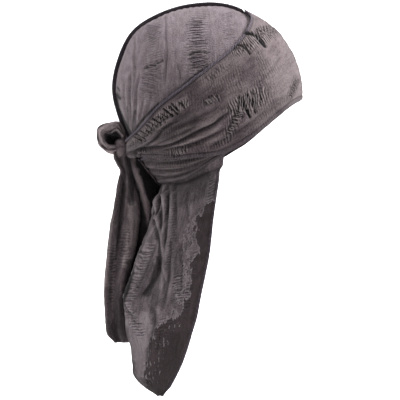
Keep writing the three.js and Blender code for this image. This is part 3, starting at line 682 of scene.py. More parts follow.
WRAP_LADDERS = [
    ([(136, 143), (150, 132), (160, 122), (172, 112), (186, 106)], 5.2, 0.95),
    ([(236, 50), (248, 45), (262, 38), (276, 30)], 9.5, 0.9),
    ([(234, 56), (243, 52), (252, 47)], 4.5, 0.7),
    ([(235, 111), (246, 106), (258, 99)], 11, 1.0),
    ([(240, 112), (234, 122), (228, 136)], 6.5, 0.75),
    ([(204, 106), (212, 103), (218, 101)], 4.5, 0.5),
    ([(173, 153), (179, 152), (185, 151)], 5, 0.8),
    ([(138, 152), (143, 151), (147, 151)], 3.5, 0.5),
    ([(288, 97), (292, 90), (295, 80)], 5, 0.7),
    ([(205, 84), (214, 78), (222, 70)], 4, 0.3),
    ([(214, 146), (220, 144), (228, 141)], 4, 0.45),
    ([(256, 58), (262, 72), (256, 88)], 5, 0.25),
]
# Where the wrap is palest, from washing and from painted light: over the front, and along its upper hem
WRAP_WASH_AND_LIGHT = [
    ([(262, 20), (284, 50), (294, 84)], 34, 0.6),
    ([(252, 36), (232, 60), (208, 80)], 13, 0.35),
    ([(238, 96), (252, 108), (262, 118)], 16, 0.3),
    ([(131, 147), (142, 138), (154, 128), (168, 115), (184, 105)], 6.5, 0.6),
]
# Slits where the laddered loops have opened
WRAP_HOLES = [
    ([(245, 36), (252, 37), (258, 42), (264, 49)], 2.1, 1.0),
    ([(237, 48), (243, 50), (249, 57)], 1.2, 0.9),
    ([(240, 101), (243.5, 108), (248.5, 119)], 1.5, 1.0),
    ([(246, 98), (251, 106), (254, 115)], 1.1, 0.9),
]
WRAP_SLIT_RUNS = [
    ([(138, 142), (148, 133), (158, 124), (170, 114), (184, 106)], 5.4, 13, 0.3, 1.0, 1.0),
    ([(256, 38), (266, 32), (276, 28)], 6.5, 8, -0.3, 0.8, 0.85),
    ([(232, 52), (240, 51), (252, 50)], 3.5, 6, -0.3, 0.8, 0.75),
    ([(236, 106), (246, 104), (260, 100)], 8.5, 8, -0.25, 0.85, 0.9),
    ([(240, 113), (234, 122), (228, 136)], 4.5, 9, 0.5, 0.8, 0.75),
    ([(203, 106), (210, 103), (219, 100)], 3.5, 5, 0.1, 0.75, 0.6),
    ([(172, 153), (178, 152.5), (184, 152)], 4.5, 4, 0.1, 0.9, 0.9),
    ([(138, 152), (143, 151.5), (148, 151)], 3.0, 4, 0.1, 0.75, 0.8),
    ([(289, 98), (293, 90), (296, 80)], 4.0, 7, 0.9, 0.75, 0.7),
    ([(205, 84), (214, 77), (222, 70)], 2.6, 6, 0.1, 0.7, 0.4),
]
# Where the wrap lies in shade: toward the knot, and along the front
WRAP_SHADOWS = [
    ([(136, 152), (158, 141), (188, 126)], 14, 0.36),
    ([(232, 140), (254, 126), (284, 104)], 9, 0.22),
    ([(140, 157), (170, 158), (200, 152)], 7, 0.25),
]
# The near tie's own first run, seen low at the nape
NAPE_CREASES = [
    ([(140, 160), (154, 163), (172, 163), (190, 160), (208, 154)], 1.2, 1.5, 0.8, 0.6),
    ([(146, 168), (160, 171), (178, 170), (196, 165), (212, 157)], 1.2, 1.5, 0.8, 0.6),
    ([(152, 176), (166, 177), (182, 174), (198, 168)], 1.2, 1.4, 0.9, 0.7),
    ([(140, 161), (144, 163), (150, 164)], 1.2, 1.3, 1.0, 0.5),
    ([(146, 168), (149, 169.5), (156, 170)], 1.2, 1.2, 1.2, 0.5),
]
NAPE_SHADOWS = [
    ([(150, 172), (180, 170), (216, 156)], 18, 0.3),
    ([(164, 162), (184, 161), (204, 156)], 3.5, 0.5),
]
NAPE_LADDERS = [
    ([(160, 160), (180, 160), (198, 156)], 5, 0.3),
]

# Folds of the cape on its near side
CAPE_CREASES = [
    ([(161, 178), (161.5, 200), (162.5, 222), (163, 244)], 1.9, 3.0, 1.6, 2.2),
    ([(168.5, 180), (169.5, 202), (168, 226), (166, 246), (165, 262)], 1.5, 2.4, 1.6, 1.4),
    ([(153, 196), (155, 212), (157, 226), (160, 240), (161, 262), (160.5, 288)], 1.8, 2.6, 2.2, 1.0),
    ([(176, 182), (177, 204), (176, 232)], 1.5, 1.2, 0.9, 0.7),
    ([(172, 236), (171, 256), (170, 276), (166, 296), (160, 316)], 1.4, 1.6, 1.2, 0.9),
    ([(182, 240), (182.5, 262), (182, 280), (178, 300)], 1.2, 1.3, 1.0, 0.7),
    ([(190, 190), (188, 206), (190, 226)], 1.6, 0.9, 0.7, 0.5),
    ([(164, 268), (166, 280), (164, 296)], 1.2, 1.2, 0.8, 0.5),
    ([(153, 302), (156, 318), (152, 334), (148, 352), (146, 372)], 2.0, 1.5, 1.0, 0.9),
    ([(163, 322), (160, 338), (157, 354)], 1.3, 1.0, 0.8, 0.6),
    ([(132, 316), (138, 322), (146, 322)], 1.5, 1.1, 0.8, 0.7),
    ([(124, 302), (130, 312), (140, 319)], 1.4, 1.6, 1.4, 0.8),
    ([(158, 242), (150, 262), (142, 280), (134, 294)], 2.4, 1.7, 0.6, 2.0),
    ([(138, 248), (143, 252), (150, 251)], 0.8, 1.5, 0.9, 0.5),
    ([(137, 255), (142, 256), (146, 260)], 0.9, 1.2, 0.8, 0.4),
    ([(143, 262), (147, 259), (152, 260)], 0.7, 1.0, 0.6, 0.4),
    ([(136, 264), (141, 268), (144, 267)], 0.9, 1.4, 0.8, 0.5),
    ([(135, 273), (140, 271), (145, 275)], 0.8, 0.9, 0.6, 0.4),
    ([(131, 281), (136, 282), (139, 286)], 0.9, 1.2, 0.8, 0.5),
    ([(134, 289), (138, 286), (142, 284)], 0.7, 0.9, 0.5, 0.3),
    ([(126, 293), (132, 292), (136, 296)], 0.9, 1.3, 0.8, 0.5),
    ([(125, 301), (130, 299), (137, 303)], 0.9, 1.1, 0.7, 0.5),
    ([(127, 309), (134, 312), (138, 308)], 0.8, 1.0, 0.6, 0.4),
    ([(140, 376), (146, 379), (153, 380)], 1.2, 1.2, 0.8, 0.6),
]
CAPE_LADDERS = [
    ([(152, 246), (145, 262), (137, 284), (129, 302), (132, 314)], 5, 0.42),
    ([(136, 322), (139, 328), (142, 332)], 6, 0.6),
    ([(165, 320), (162, 334), (160, 345)], 7, 0.4),
    ([(196, 250), (194, 262), (193, 276)], 3, 0.45),
    ([(180, 276), (178, 286), (180, 296)], 5, 0.55),
    ([(190, 284), (188, 292), (186, 306)], 4, 0.6),
    ([(212, 178), (211, 190), (209, 204)], 3.2, 0.5),
    ([(172, 200), (172, 230), (171, 262)], 5, 0.22),
]
# Where the laddered face has come away and the smooth backing shows: the ragged edge between them
CAPE_BARE_EDGE = [
    (240, 188), (226, 195), (213, 200), (205, 206), (203, 214), (197, 216), (195, 225), (197, 240),
    (200, 251), (193, 257), (192, 268), (191, 284), (189, 297), (183, 300), (184, 308), (177, 315),
    (167, 319), (157, 327), (151, 340), (148, 356), (145, 372), (147, 386), (150, 400),
]
# Where only part of the face is worn off: path, half width in squares, strength
CAPE_WORN = [
    ([(174, 318), (163, 338), (157, 358), (153, 374)], 13, 0.3),
    ([(194, 222), (187, 246), (187, 268), (181, 296)], 9, 0.33),
]
# Parts of the cape that lie in the shade of a fold or under the wrap
CAPE_SHADOWS = [
    ([(143, 160), (148, 172), (150, 184), (150, 198), (151, 212)], 5.5, 1.0),
    ([(138, 186), (142, 200), (144, 214), (143, 228), (141, 240), (137, 250)], 6.0, 1.0),
    ([(136, 250), (134, 264), (131, 278), (126, 292), (120, 306)], 3.6, 0.95),
    ([(159.5, 258), (156.5, 271), (153, 283), (148, 293)], 4.5, 0.7),
    ([(158, 290), (155, 304), (153, 316)], 4.5, 0.3),
    ([(178, 194), (192, 191), (206, 186)], 15, 0.42),
    ([(172, 226), (176, 250), (174, 268)], 9, 0.18),
    ([(131, 330), (136, 350), (140, 372)], 8, 0.2),
    ([(161.5, 186), (161.8, 200), (161.5, 214)], 1.4, 0.7),
    ([(164, 182), (178, 179), (192, 174), (206, 165)], 2.4, 0.6),
    ([(181, 186), (190, 182), (198, 176)], 3.6, 0.4),
    ([(134, 362), (133.5, 372), (136, 378)], 2.2, 0.6),
    ([(142, 384), (150, 389), (160, 397)], 9, 0.45),
    ([(176, 340), (168, 362), (160, 386)], 12, 0.3),
]
# Places painted paler on the cape: painted highlights along its lit ridges, and paler patches low on its left
# panel and at its upper right edge
CAPE_PALE = [
    ([(133, 322), (138, 336), (141, 352), (143, 366), (145, 374)], 8, 0.7),
    ([(147, 316), (146, 330), (143, 344)], 8, 0.85),
    ([(213, 176), (210, 188), (207, 200)], 4.5, 0.5),
    ([(157, 244), (149, 260), (140, 280), (131, 298), (130, 312)], 4.5, 0.7),
    ([(157, 192), (158, 214), (160, 236)], 2.4, 0.4),
    ([(165.5, 190), (166, 214), (164.5, 240)], 2.2, 0.4),
    ([(161, 240), (163, 262), (162, 284)], 3.0, 0.35),
]


# Materials

def linear(shade):
    """A shader colour from an sRGB hex value."""
    parts = [int(shade[k:k + 2], 16) / 255 for k in (1, 3, 5)]
    return (*[p / 12.92 if p <= 0.04045 else ((p + 0.055) / 1.055) ** 2.4 for p in parts], 1)


def add(tree, kind, inputs=None, **settings):
    """A shader node with its settings, its inputs set to values or linked to other outputs."""
    made = tree.nodes.new(kind)
    for title, value in settings.items():
        setattr(made, title, value)
    for socket, value in (inputs or {}).items():
        if isinstance(value, bpy.types.NodeSocket):
            tree.links.new(value, made.inputs[socket])
        else:
            made.inputs[socket].default_value = value
    return made


def new_material(title):
    material = bpy.data.materials.new(title)
    material.use_nodes = True
    tree = material.node_tree
    tree.nodes.clear()
    output = tree.nodes.new("ShaderNodeOutputMaterial")
    shader = tree.nodes.new("ShaderNodeBsdfPrincipled")
    tree.links.new(shader.outputs[0], output.inputs["Surface"])
    return material, tree, shader


# Pitches of the knit in millimetres. The real loops are about 0.7 mm apart, too fine to show, so
# the rungs that they leave in a ladder are drawn 3.2 mm apart.
RUNG_PITCH = 3.2
STITCH_PITCH = 2.4
# Lengths in millimetres along and across the knit, and a place of its own, for each pattern: streaks
# of the washed yarn, blotches, single fibres, thick places in the yarn, and the frayed edge
KNIT_NOISES = {
    "streak": (20, 2.4, 3), "blotch": (13, 9, 17), "fibre": (1.3, 1.5, 31), "slub": (1.8, 5, 47),
    "fray": (8, 3.2, 59),
}
KNIT_TONES = (("streak", 0.6), ("blotch", 0.65), ("fibre", 1.05))
# Where a rung's gap starts and is fully open, and where its thread is fully lit
RUNG_EDGE = 1.7
RUNG_OPEN = 1.15
RUNG_LIT = 2.25
# Where the worn rim starts, where the backing starts, and where it is fully bare
RIM_START = 1.14
BACKING_START = 1.3
BACKING_FULL = 1.42
# A wave texture makes a band in this length of its own scale
WAVE_TURN = 2 * math.pi / 20
# Near black of painted shade in recesses, and the dark seen through open holes
RECESS = "#0c0b0c"


def ladder_knit(title, face, pale, backing):
    """Viscose jersey of two layers, laddered and washed: a soft mauve grey face whose loops catch
    light along the rungs of each ladder, over a dark backing that shows between them."""
    material, tree, shader = new_material(title)
    flat = add(tree, "ShaderNodeUVMap", uv_map="cloth").outputs[0]
    mark = {
        name: add(tree, "ShaderNodeAttribute", attribute_name=name).outputs["Fac"]
        for name in MARKS
    }

    noises = {}
    for name, (along, across, seed) in KNIT_NOISES.items():
        placed = add(tree, "ShaderNodeMapping", {
            0: flat, 1: (seed, seed, 0), 3: (1 / along, 1 / across, 1)})
        noises[name] = add(tree, "ShaderNodeTexNoise", {
            "Vector": placed.outputs[0], "Scale": 1.0, "Detail": 3.0, "Roughness": 0.6}).outputs[0]

    # Rungs of the ladders: threads that still cross, and the open places between them
    rungs = add(tree, "ShaderNodeTexWave", {
        "Vector": flat, "Scale": WAVE_TURN / RUNG_PITCH, "Distortion": 5.0, "Detail": 2.0,
        "Detail Scale": 1.3,
    }, wave_type="BANDS", bands_direction="X").outputs[1]
    uneven = add(tree, "ShaderNodeMath", {0: noises["slub"], 1: 2.4, 2: rungs},
                 operation="MULTIPLY_ADD").outputs[0]
    gap = add(tree, "ShaderNodeMapRange", {"Value": uneven, "From Min": RUNG_EDGE, "From Max": RUNG_OPEN},
              interpolation_type="SMOOTHSTEP").outputs[0]
    thread = add(tree, "ShaderNodeMapRange", {
        "Value": uneven, "From Min": RUNG_EDGE, "From Max": RUNG_LIT, "To Max": 0.45,
    }, interpolation_type="SMOOTHSTEP").outputs[0]
    opened = add(tree, "ShaderNodeMath", {0: mark["run"], 1: gap}, operation="MULTIPLY").outputs[0]
    lit = add(tree, "ShaderNodeMath", {0: mark["run"], 1: thread}, operation="MULTIPLY").outputs[0]

    # The worn edge of the face, where the smooth backing shows, with a lighter rim of loose loops
    frayed = add(tree, "ShaderNodeMath", {0: noises["fray"], 1: 1.7, 2: mark["bare"]},
                 operation="MULTIPLY_ADD").outputs[0]
    smooth_side = add(tree, "ShaderNodeMapRange", {
        "Value": frayed, "From Min": BACKING_START, "From Max": BACKING_FULL,
    }, interpolation_type="SMOOTHSTEP").outputs[0]
    rim = add(tree, "ShaderNodeMapRange", {
        "Value": frayed, "From Min": RIM_START, "From Max": BACKING_START, "To Max": 0.4,
    }, interpolation_type="SMOOTHSTEP").outputs[0]

    # Colours, each laid over the one before
    tone = 0.0
    for name, part in KNIT_TONES:
        tone = add(tree, "ShaderNodeMath", {0: noises[name], 1: part, 2: tone},
                   operation="MULTIPLY_ADD").outputs[0]
    shade = add(tree, "ShaderNodeMapRange", {"Value": tone, "From Min": 0.88, "From Max": 1.42}).outputs[0]
    # The pale mark lightens the cloth, for washed places and for painted highlights, more where the tone is
    # lighter
    paling = add(tree, "ShaderNodeMapRange", {"Value": shade, "To Min": 0.3, "To Max": 0.7}).outputs[0]
    washed_and_lit = add(tree, "ShaderNodeMath", {0: mark["pale"], 1: paling}, operation="MULTIPLY").outputs[0]
    stitches = add(tree, "ShaderNodeTexWave", {
        "Vector": flat, "Scale": WAVE_TURN / STITCH_PITCH, "Distortion": 0.6,
    }, wave_type="BANDS", bands_direction="DIAGONAL").outputs[1]
    sewn = add(tree, "ShaderNodeMix", {0: stitches, 6: linear(OVERLOCK[0]), 7: linear(OVERLOCK[1])},
               data_type="RGBA")
    under = add(tree, "ShaderNodeMix", {0: noises["fray"], 6: linear(BARE[0]), 7: linear(BARE[1])},
                data_type="RGBA")
    colour = add(tree, "ShaderNodeMix", {0: shade, 6: linear(face[0]), 7: linear(face[1])}, data_type="RGBA")
    # Painted light among the layers: the lit rungs are painted highlights, the pale mark is washed cloth and
    # painted highlights, and the deep mark is painted shade, also the dark of open holes
    layers = (
        (lit, linear(pale)), (washed_and_lit, linear(pale)), (opened, linear(backing)), (rim, linear(pale)),
        (smooth_side, under.outputs[2]), (mark["hem"], sewn.outputs[2]), (mark["deep"], linear(RECESS)),
    )
    for share, over in layers:
        colour = add(tree, "ShaderNodeMix", {0: share, 6: colour.outputs[2], 7: over}, data_type="RGBA")

    # Relief in metres: each row is a pattern and its height
    relief = (
        (noises["fibre"], 0.001), (noises["streak"], 0.0009), (noises["blotch"], 0.001),
        (lit, 0.0007), (opened, -0.0014), (smooth_side, -0.0008),
    )
    height = 0.0
    for pattern, tall in relief:
        height = add(tree, "ShaderNodeMath", {0: pattern, 1: tall, 2: height},
                     operation="MULTIPLY_ADD").outputs[0]
    bump = add(tree, "ShaderNodeBump", {"Strength": 1.0, "Distance": 1.0, "Height": height})
    tree.links.new(colour.outputs[2], shader.inputs["Base Color"])
    tree.links.new(bump.outputs[0], shader.inputs["Normal"])
    shader.inputs["Roughness"].default_value = 0.92
    shader.inputs["Specular IOR Level"].default_value = 0.15
    shader.inputs["Sheen Weight"].default_value = 0.08
    shader.inputs["Sheen Roughness"].default_value = 0.5
    return material


def sewing_thread(title, shade, glow):
    """Spun polyester thread: matt, painted a little lighter as highlight where its plies stand up."""
    material, tree, shader = new_material(title)
    place = add(tree, "ShaderNodeTexCoord").outputs["Object"]
    plies = add(tree, "ShaderNodeTexNoise", {"Vector": place, "Scale": 1800.0, "Detail": 2.0}).outputs[0]
    colour = add(tree, "ShaderNodeMix", {0: plies, 6: linear(shade), 7: linear(glow)}, data_type="RGBA")
    bump = add(tree, "ShaderNodeBump", {"Strength": 1.0, "Distance": 0.0001, "Height": plies})
    tree.links.new(colour.outputs[2], shader.inputs["Base Color"])
    tree.links.new(bump.outputs[0], shader.inputs["Normal"])
    shader.inputs["Roughness"].default_value = 0.85
    shader.inputs["Specular IOR Level"].default_value = 0.25
    return material


OVERLOCK = ("#3f3943", "#615a69")
BARE = ("#1c1617", "#483e40")
crown_knit = ladder_knit("laddered viscose jersey crown", ("#584e52", "#84797e"), "#a2979b", "#2b2427")
tie_knit = ladder_knit("laddered viscose jersey ties", ("#352b2e", "#64595c"), "#a39697", "#181314")
cape_knit = ladder_knit("laddered viscose jersey cape", ("#3c3537", "#6d6367"), "#a3989d", "#1c1819")
seam_knit = ladder_knit("overlocked jersey seam", ("#2a2528", "#453e43"), "#5a5258", "#151315")
dark_thread = sewing_thread("overlock thread", "#2a262b", "#4a434c")
pale_thread = sewing_thread("laddered viscose yarn", "#5f5758", "#8d8384")
crown_thread = sewing_thread("laddered viscose crown yarn", "#6a5f64", "#8c8086")


def finish_piece(piece, material, material_slot, *nodes):
    piece.data.materials.append(material)
    if nodes:
        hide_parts(*nodes)
    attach(piece, "root")
    return piece


# Crown

FORM_CENTRE = np.array([0, 0, -CROWN_RISE])
# Length of the seam over the crown, and the pitch of the small puckers that it draws
SEAM_LENGTH = 405
PUCKER_PITCH = 6.5
PUCKER_HEIGHT = 0.35
PUCKER_REACH = 9
# How much painted shade darkens the groove of a crease
CREASE_SHADE = 0.75


def blank_marks(shape):
    return {name: np.zeros(shape) for name in MARKS}


def lift_along(points, outward, rise):
    return points + outward * np.asarray(rise)[..., None]


def seen_places(points, side):
    """Places on the side view. The far side has the same cloth, with its marks a little moved."""
    places = side_places(points)
    if side == LEFT:
        places = places + np.array(FAR_CROWN_SHIFT) + 2.5 * np.stack(
            [noise(points, 60, 5), noise(points, 60, 6)], -1)
    return places


def upright(points):
    """Places on the cloth of the crown, whose knit runs up to the seam: up it, then forward."""
    raised = points - FORM_CENTRE
    up = FORM_WIDTH / 2 * np.arctan2(raised[..., 2], np.abs(raised[..., 1]) + 1)
    forward = FORM_LENGTH / 2 * np.arcsin(np.clip(raised[..., 0] / (FORM_LENGTH / 2 + 12), -1, 1))
    return np.stack([up, forward], -1)


def crown_panel(side):
    columns, rows_across = CROWN_GRID[side]
    s = np.linspace(0, 1, columns)[:, None] * np.ones((1, rows_across))
    t = np.ones((columns, 1)) * fine_edges(rows_across, 0.03, 4)[None, :]
    rows = np.array(CROWN_EDGE, float)
    edge = unit(rounded(direction(side, rows[:, 0], rows[:, 1]), s))
    seam_out = 90 - math.degrees(math.asin((SEAM_FIN_WIDTH / 2 + PIECE_GAP) / (FORM_WIDTH / 2)))
    seam = direction(side, seam_out, CROWN_FRONT_TURN + (CROWN_BACK_TURN - CROWN_FRONT_TURN) * s)
    toward = between(edge, seam, t)
    points = on_form(toward, CROWN_LIFT)
    places = seen_places(points, side)
    facing = smooth(2, 24, -side * points[..., 1])
    _, from_seam = edge_distance(points)
    folds, shade = creases(places, CROWN_CREASES)
    rise = facing * folds
    rise += 0.45 * noise(points * np.array([1, 1, 0.45]), 17, 21) + 0.2 * noise(points, 7, 22)
    turns_of_pucker = 2 * math.pi * SEAM_LENGTH / PUCKER_PITCH * s + 2 * noise(points, 20, 8)
    rise += PUCKER_HEIGHT * np.exp(-(from_seam / PUCKER_REACH) ** 2) * np.sin(turns_of_pucker)
    rise = np.clip(rise, *CROWN_RISES)
    marks = blank_marks(s.shape)
    marks["run"] = facing * patches(places, CROWN_LADDERS)
    open_slits = patches(places, CROWN_SLITS + slits(CROWN_SLIT_RUNS, 12), SLIT_UNEVEN)
    beside_seam = smooth(-1, 3, -side * points[..., 1])
    # Painted shade in the creases and in the corner by the seam, over the real open slits; painted highlights
    # beside the widest slits
    marks["deep"] = np.maximum(facing * np.maximum(CREASE_SHADE * shade, open_slits),
                               beside_seam * patches(places, CROWN_CORNER_SHADE, SLIT_UNEVEN))
    marks["pale"] = facing * patches(places, CROWN_PALE, SLIT_UNEVEN)
    marks = paint_fold_light(marks, rise)
    name = "crown_cloth_right" if side == RIGHT else "crown_cloth_left"
    raised = on_form(toward, CROWN_LIFT + rise)
    return cloth_piece(name, raised, points - FORM_CENTRE, marks, flat=upright(points))


crown_right = finish_piece(crown_panel(RIGHT), crown_knit, "crown_knit", "crown_right")
crown_left = finish_piece(crown_panel(LEFT), crown_knit, "crown_knit", "crown_left")

# Threads left across the largest ladders of the near crown panel
CROWN_THREADS = [
    ([(199, 56), (199, 62), (200, 70)], 8.5, 9, 0.1),
    ([(198, 22), (197, 34), (198, 50)], 8.0, 12, 0.05),
    ([(154, 26), (153, 34), (152, 40)], 7.5, 7, -0.1),
    ([(155, 64), (154, 78), (151, 92)], 8.0, 8, -0.12),
]
crown_threads = finish_piece(
    ladder_threads("crown_ladder_threads", crown_right, CROWN_THREADS, CROWN_THREAD_RADIUS, 6),
    crown_thread, "crown_knit")


# Raised seam

def fin_height(turn):
    stands = smooth(FIN_FRONT_TURN - FIN_RUN_OUT, FIN_FRONT_TURN, turn)
    stands *= 1 - smooth(FIN_BACK_TURN, FIN_BACK_TURN + FIN_RUN_OUT, turn)
    return CLOTH_WALL + SEAM_FIN_HEIGHT * stands


def seam_fin():
    """The panels' edges turned up and overlocked: a soft fin that waves a little along its length."""
    turns = np.linspace(CROWN_FRONT_TURN, CROWN_BACK_TURN, FIN_POINTS)
    length = np.linspace(0, SEAM_LENGTH, FIN_POINTS)
    stitch = np.sin(length * 2 * math.pi / STITCH_PITCH)
    section = [
        (-1, 0), (-1, 0.5), (-0.98, 0.82), (-0.6, 0.98), (0, 1.0), (0.6, 0.98), (0.98, 0.82), (1, 0.5),
        (1, 0),
    ]
    grid = []
    for aside, up in section:
        spine = direction(RIGHT, 90, turns)
        base = on_form(spine, 0)
        wave = 0.3 * noise(base, 14, 31) + 0.12 * stitch
        height = fin_height(turns) * (1 + 0.05 * noise(base, 9, 32)) * up
        points = on_form(spine, height)
        points[:, 1] = SEAM_FIN_WIDTH / 2 * aside * (1 + 0.1 * stitch) + wave * up
        grid.append(points)
    grid = np.stack(grid, 1)
    columns, rows = grid.shape[:2]
    uv = flat_places(grid)
    faces = grid_faces(columns, rows, turned=True).tolist()
    faces += [list(range(rows)), [(columns - 1) * rows + k for k in range(rows)][::-1]]
    faces += [
        [i * rows, (i + 1) * rows, (i + 1) * rows + rows - 1, i * rows + rows - 1]
        for i in range(columns - 1)
    ]
    marks = blank_marks(grid.shape[:2])
    return make_mesh("seam_fin", grid.reshape(-1, 3), faces, uv.reshape(-1, 2), marks)


def fin_stitches():
    turns = np.linspace(FIN_FRONT_TURN + 1, FIN_BACK_TURN - 1, 120)
    shape = [(-1.12, 0.1), (-1.14, 0.6), (-0.9, 0.98), (0, 1.09), (0.9, 0.98), (1.14, 0.6), (1.12, 0.1)]
    paths = []
    for k, (aside, up) in enumerate(shape):
        spine = direction(RIGHT, 90, turns + 0.35 * k)
        points = on_form(spine, CLOTH_WALL + (fin_height(turns) - CLOTH_WALL) * up)
        points[:, 1] = SEAM_FIN_WIDTH / 2 * aside
        paths.append(points)
    return strands("seam_fin_stitches", np.stack(paths, 1), STITCH_RADIUS)


fin = finish_piece(seam_fin(), seam_knit, "seam_overlock", "centre_seam")
fin_thread = finish_piece(fin_stitches(), dark_thread, "seam_overlock")


# Ties

def tie_rows(rows, side):
    return np.stack([direction(side if own else -side, out, turn) for own, out, turn in rows])


def tie_toward(side, s, t):
    lower = unit(rounded(tie_rows(TIE_LOWER_EDGE, side), s))
    upper = unit(rounded(tie_rows(TIE_UPPER_EDGE, side), s))
    return between(lower, upper, t)


# Faint ladders all over a tie
THIN_WEAR = 0.2
# The cloth's points lie closer together toward the knot, where the finest folds are
TIE_CROWDING = {RIGHT: 0.72, LEFT: 0.52}
# Fine wrinkles of the stretched cloth: length, width and height in millimetres
WRINKLE_SIZE = (26, 3.4)
WRINKLE_HEIGHT = 0.32


def fine_wrinkles(points):
    """Rise of the small folds that run along a tie."""
    flat = flat_places(points) / np.array(WRINKLE_SIZE)
    return WRINKLE_HEIGHT * noise(np.concatenate([flat, 0 * flat[..., :1]], -1), 1, 46)


def wide_tie(side, lift, name):
    """One tie. The first half lies low on its own side, the second high on the other one."""
    columns, rows = TIE_GRID[side]
    s = np.linspace(0, 1, columns)[:, None] ** TIE_CROWDING[side] * np.ones((1, rows))
    t = np.ones((columns, 1)) * fine_edges(rows, 0.07, 11)[None, :]
    toward = tie_toward(side, s, t)
    points = on_form(toward, lift)
    own = -side * points[..., 1]
    low_run = smooth(-10, 6, own) * (s < 0.5)
    high_run = smooth(4, 20, -own) * (s > 0.5)
    own_places, other_places = seen_places(points, side), seen_places(points, -side)
    over = side == LEFT
    wrap_rise, wrap_shade = creases(other_places, WRAP_CREASES)
    nape_rise, nape_shade = creases(own_places, NAPE_CREASES)
    rise = high_run * wrap_rise * (1.0 if over else 0.35) + low_run * nape_rise
    rise += 0.4 * noise(points, 15, 41 + side) + 0.18 * noise(points, 6, 43) + fine_wrinkles(points)
    to_lower, to_upper = edge_distance(points)
    lower_rise, lower_hem, lower_dent = hem(to_lower, TIE_LOWER_HEM)
    upper_rise, upper_hem, upper_dent = hem(to_upper, TIE_UPPER_HEM)
    marks = blank_marks(s.shape)
    marks["hem"] = np.maximum(0.2 * lower_hem, 0.7 * upper_hem)
    holes = high_run * patches(other_places, WRAP_HOLES + slits(WRAP_SLIT_RUNS, 14), SLIT_UNEVEN)
    worn_through = THIN_WEAR * smooth(-0.2, 0.6, noise(points, 16, 47))
    marks["run"] = np.maximum.reduce([
        high_run * patches(other_places, WRAP_LADDERS), low_run * patches(own_places, NAPE_LADDERS),
        worn_through])
    marks["run"] *= 1 - marks["hem"] * 0.5
    # Painted shade in the fold grooves, in the shaded places, on the lower hem and in the hems' dents, over
    # the real open holes
    fold_shade = np.maximum(high_run * wrap_shade, low_run * nape_shade)
    dim = np.maximum(high_run * patches(other_places, WRAP_SHADOWS),
                     low_run * patches(own_places, NAPE_SHADOWS))
    marks["deep"] = np.maximum.reduce([
        holes, dim, CREASE_SHADE * fold_shade, 0.3 * lower_hem, 0.6 * lower_dent, 0.6 * upper_dent])
    # The wrap is painted paler where washed and where painted light falls on it
    marks["pale"] = high_run * patches(other_places, WRAP_WASH_AND_LIGHT)
    rise = np.clip(rise, *OVER_TIE_RISES) - HOLE_SINK * holes + lower_rise + upper_rise
    if not over:
        rise = np.clip(rise, *UNDER_TIE_RISES)
    marks = paint_fold_light(marks, rise)
    upper_pull = NEAR_EDGE_PULL if over else FAR_EDGE_PULL
    rise += KNOT_PULL * np.maximum(1 - t, upper_pull * t) * smooth(KNOT_PULL_FROM, 1, s)
    return cloth_piece(name, on_form(toward, lift + rise), points - FORM_CENTRE, marks)


tie_right = finish_piece(
    wide_tie(RIGHT, RIGHT_TIE_LIFT, "tie_cloth_right"), tie_knit, "tie_knit", "tie_right")
tie_left = finish_piece(
    wide_tie(LEFT, LEFT_TIE_LIFT, "tie_cloth_left"), tie_knit, "tie_knit", "tie_left")

# Threads left across the largest ladders of the near tie
WRAP_THREADS = [
    ([(137, 143), (144, 137), (152, 130), (160, 122), (170, 113), (182, 107)], 5.2, 12, 0.3),
    ([(252, 41), (264, 33), (275, 30)], 6.5, 9, -0.3),
    ([(238, 106), (244, 105), (252, 104), (258, 103)], 8.5, 8, -0.25),
    ([(241, 112), (236, 122), (229, 134)], 4.0, 14, 0.3),
    ([(206, 105), (211, 103), (216, 101)], 3.2, 7, 0.2),
    ([(173, 153), (179, 152.5), (184, 152)], 4.2, 8, 0.25),
    ([(289, 97), (292, 90), (295, 82)], 4.0, 8, -0.4),
    ([(138, 153), (142, 152), (146, 151.5)], 2.6, 6, 0.2),
]
tie_threads = finish_piece(
    ladder_threads("tie_ladder_threads", tie_left, WRAP_THREADS, TIE_THREAD_RADIUS, 5),
    pale_thread, "tie_knit")


# Knot and loop

knot_seat = on_form(direction(RIGHT, 90, KNOT_TURN), LEFT_TIE_LIFT + PIECE_GAP)
knot_centre = knot_seat + np.array([-KNOT_DEPTH / 2 * KNOT_SEAT_DEPTH, 0, -KNOT_HEIGHT * KNOT_DROP])

# Turns of cloth round the knot: the axis of each, its half width, and how far it stands out
KNOT_TURNS = [
    ((0.1, 0.25, 1.0), 0.62, 0.0), ((0.75, 0.2, -0.65), 0.45, 0.07), ((0.1, 1.0, 0.35), 0.5, 0.04),
    ((-0.6, -0.5, -0.7), 0.3, 0.11),
]
# Size of the knot between its turns, and at most, as shares of the driving sizes
KNOT_CORE = 0.92
KNOT_MOST = 1.2


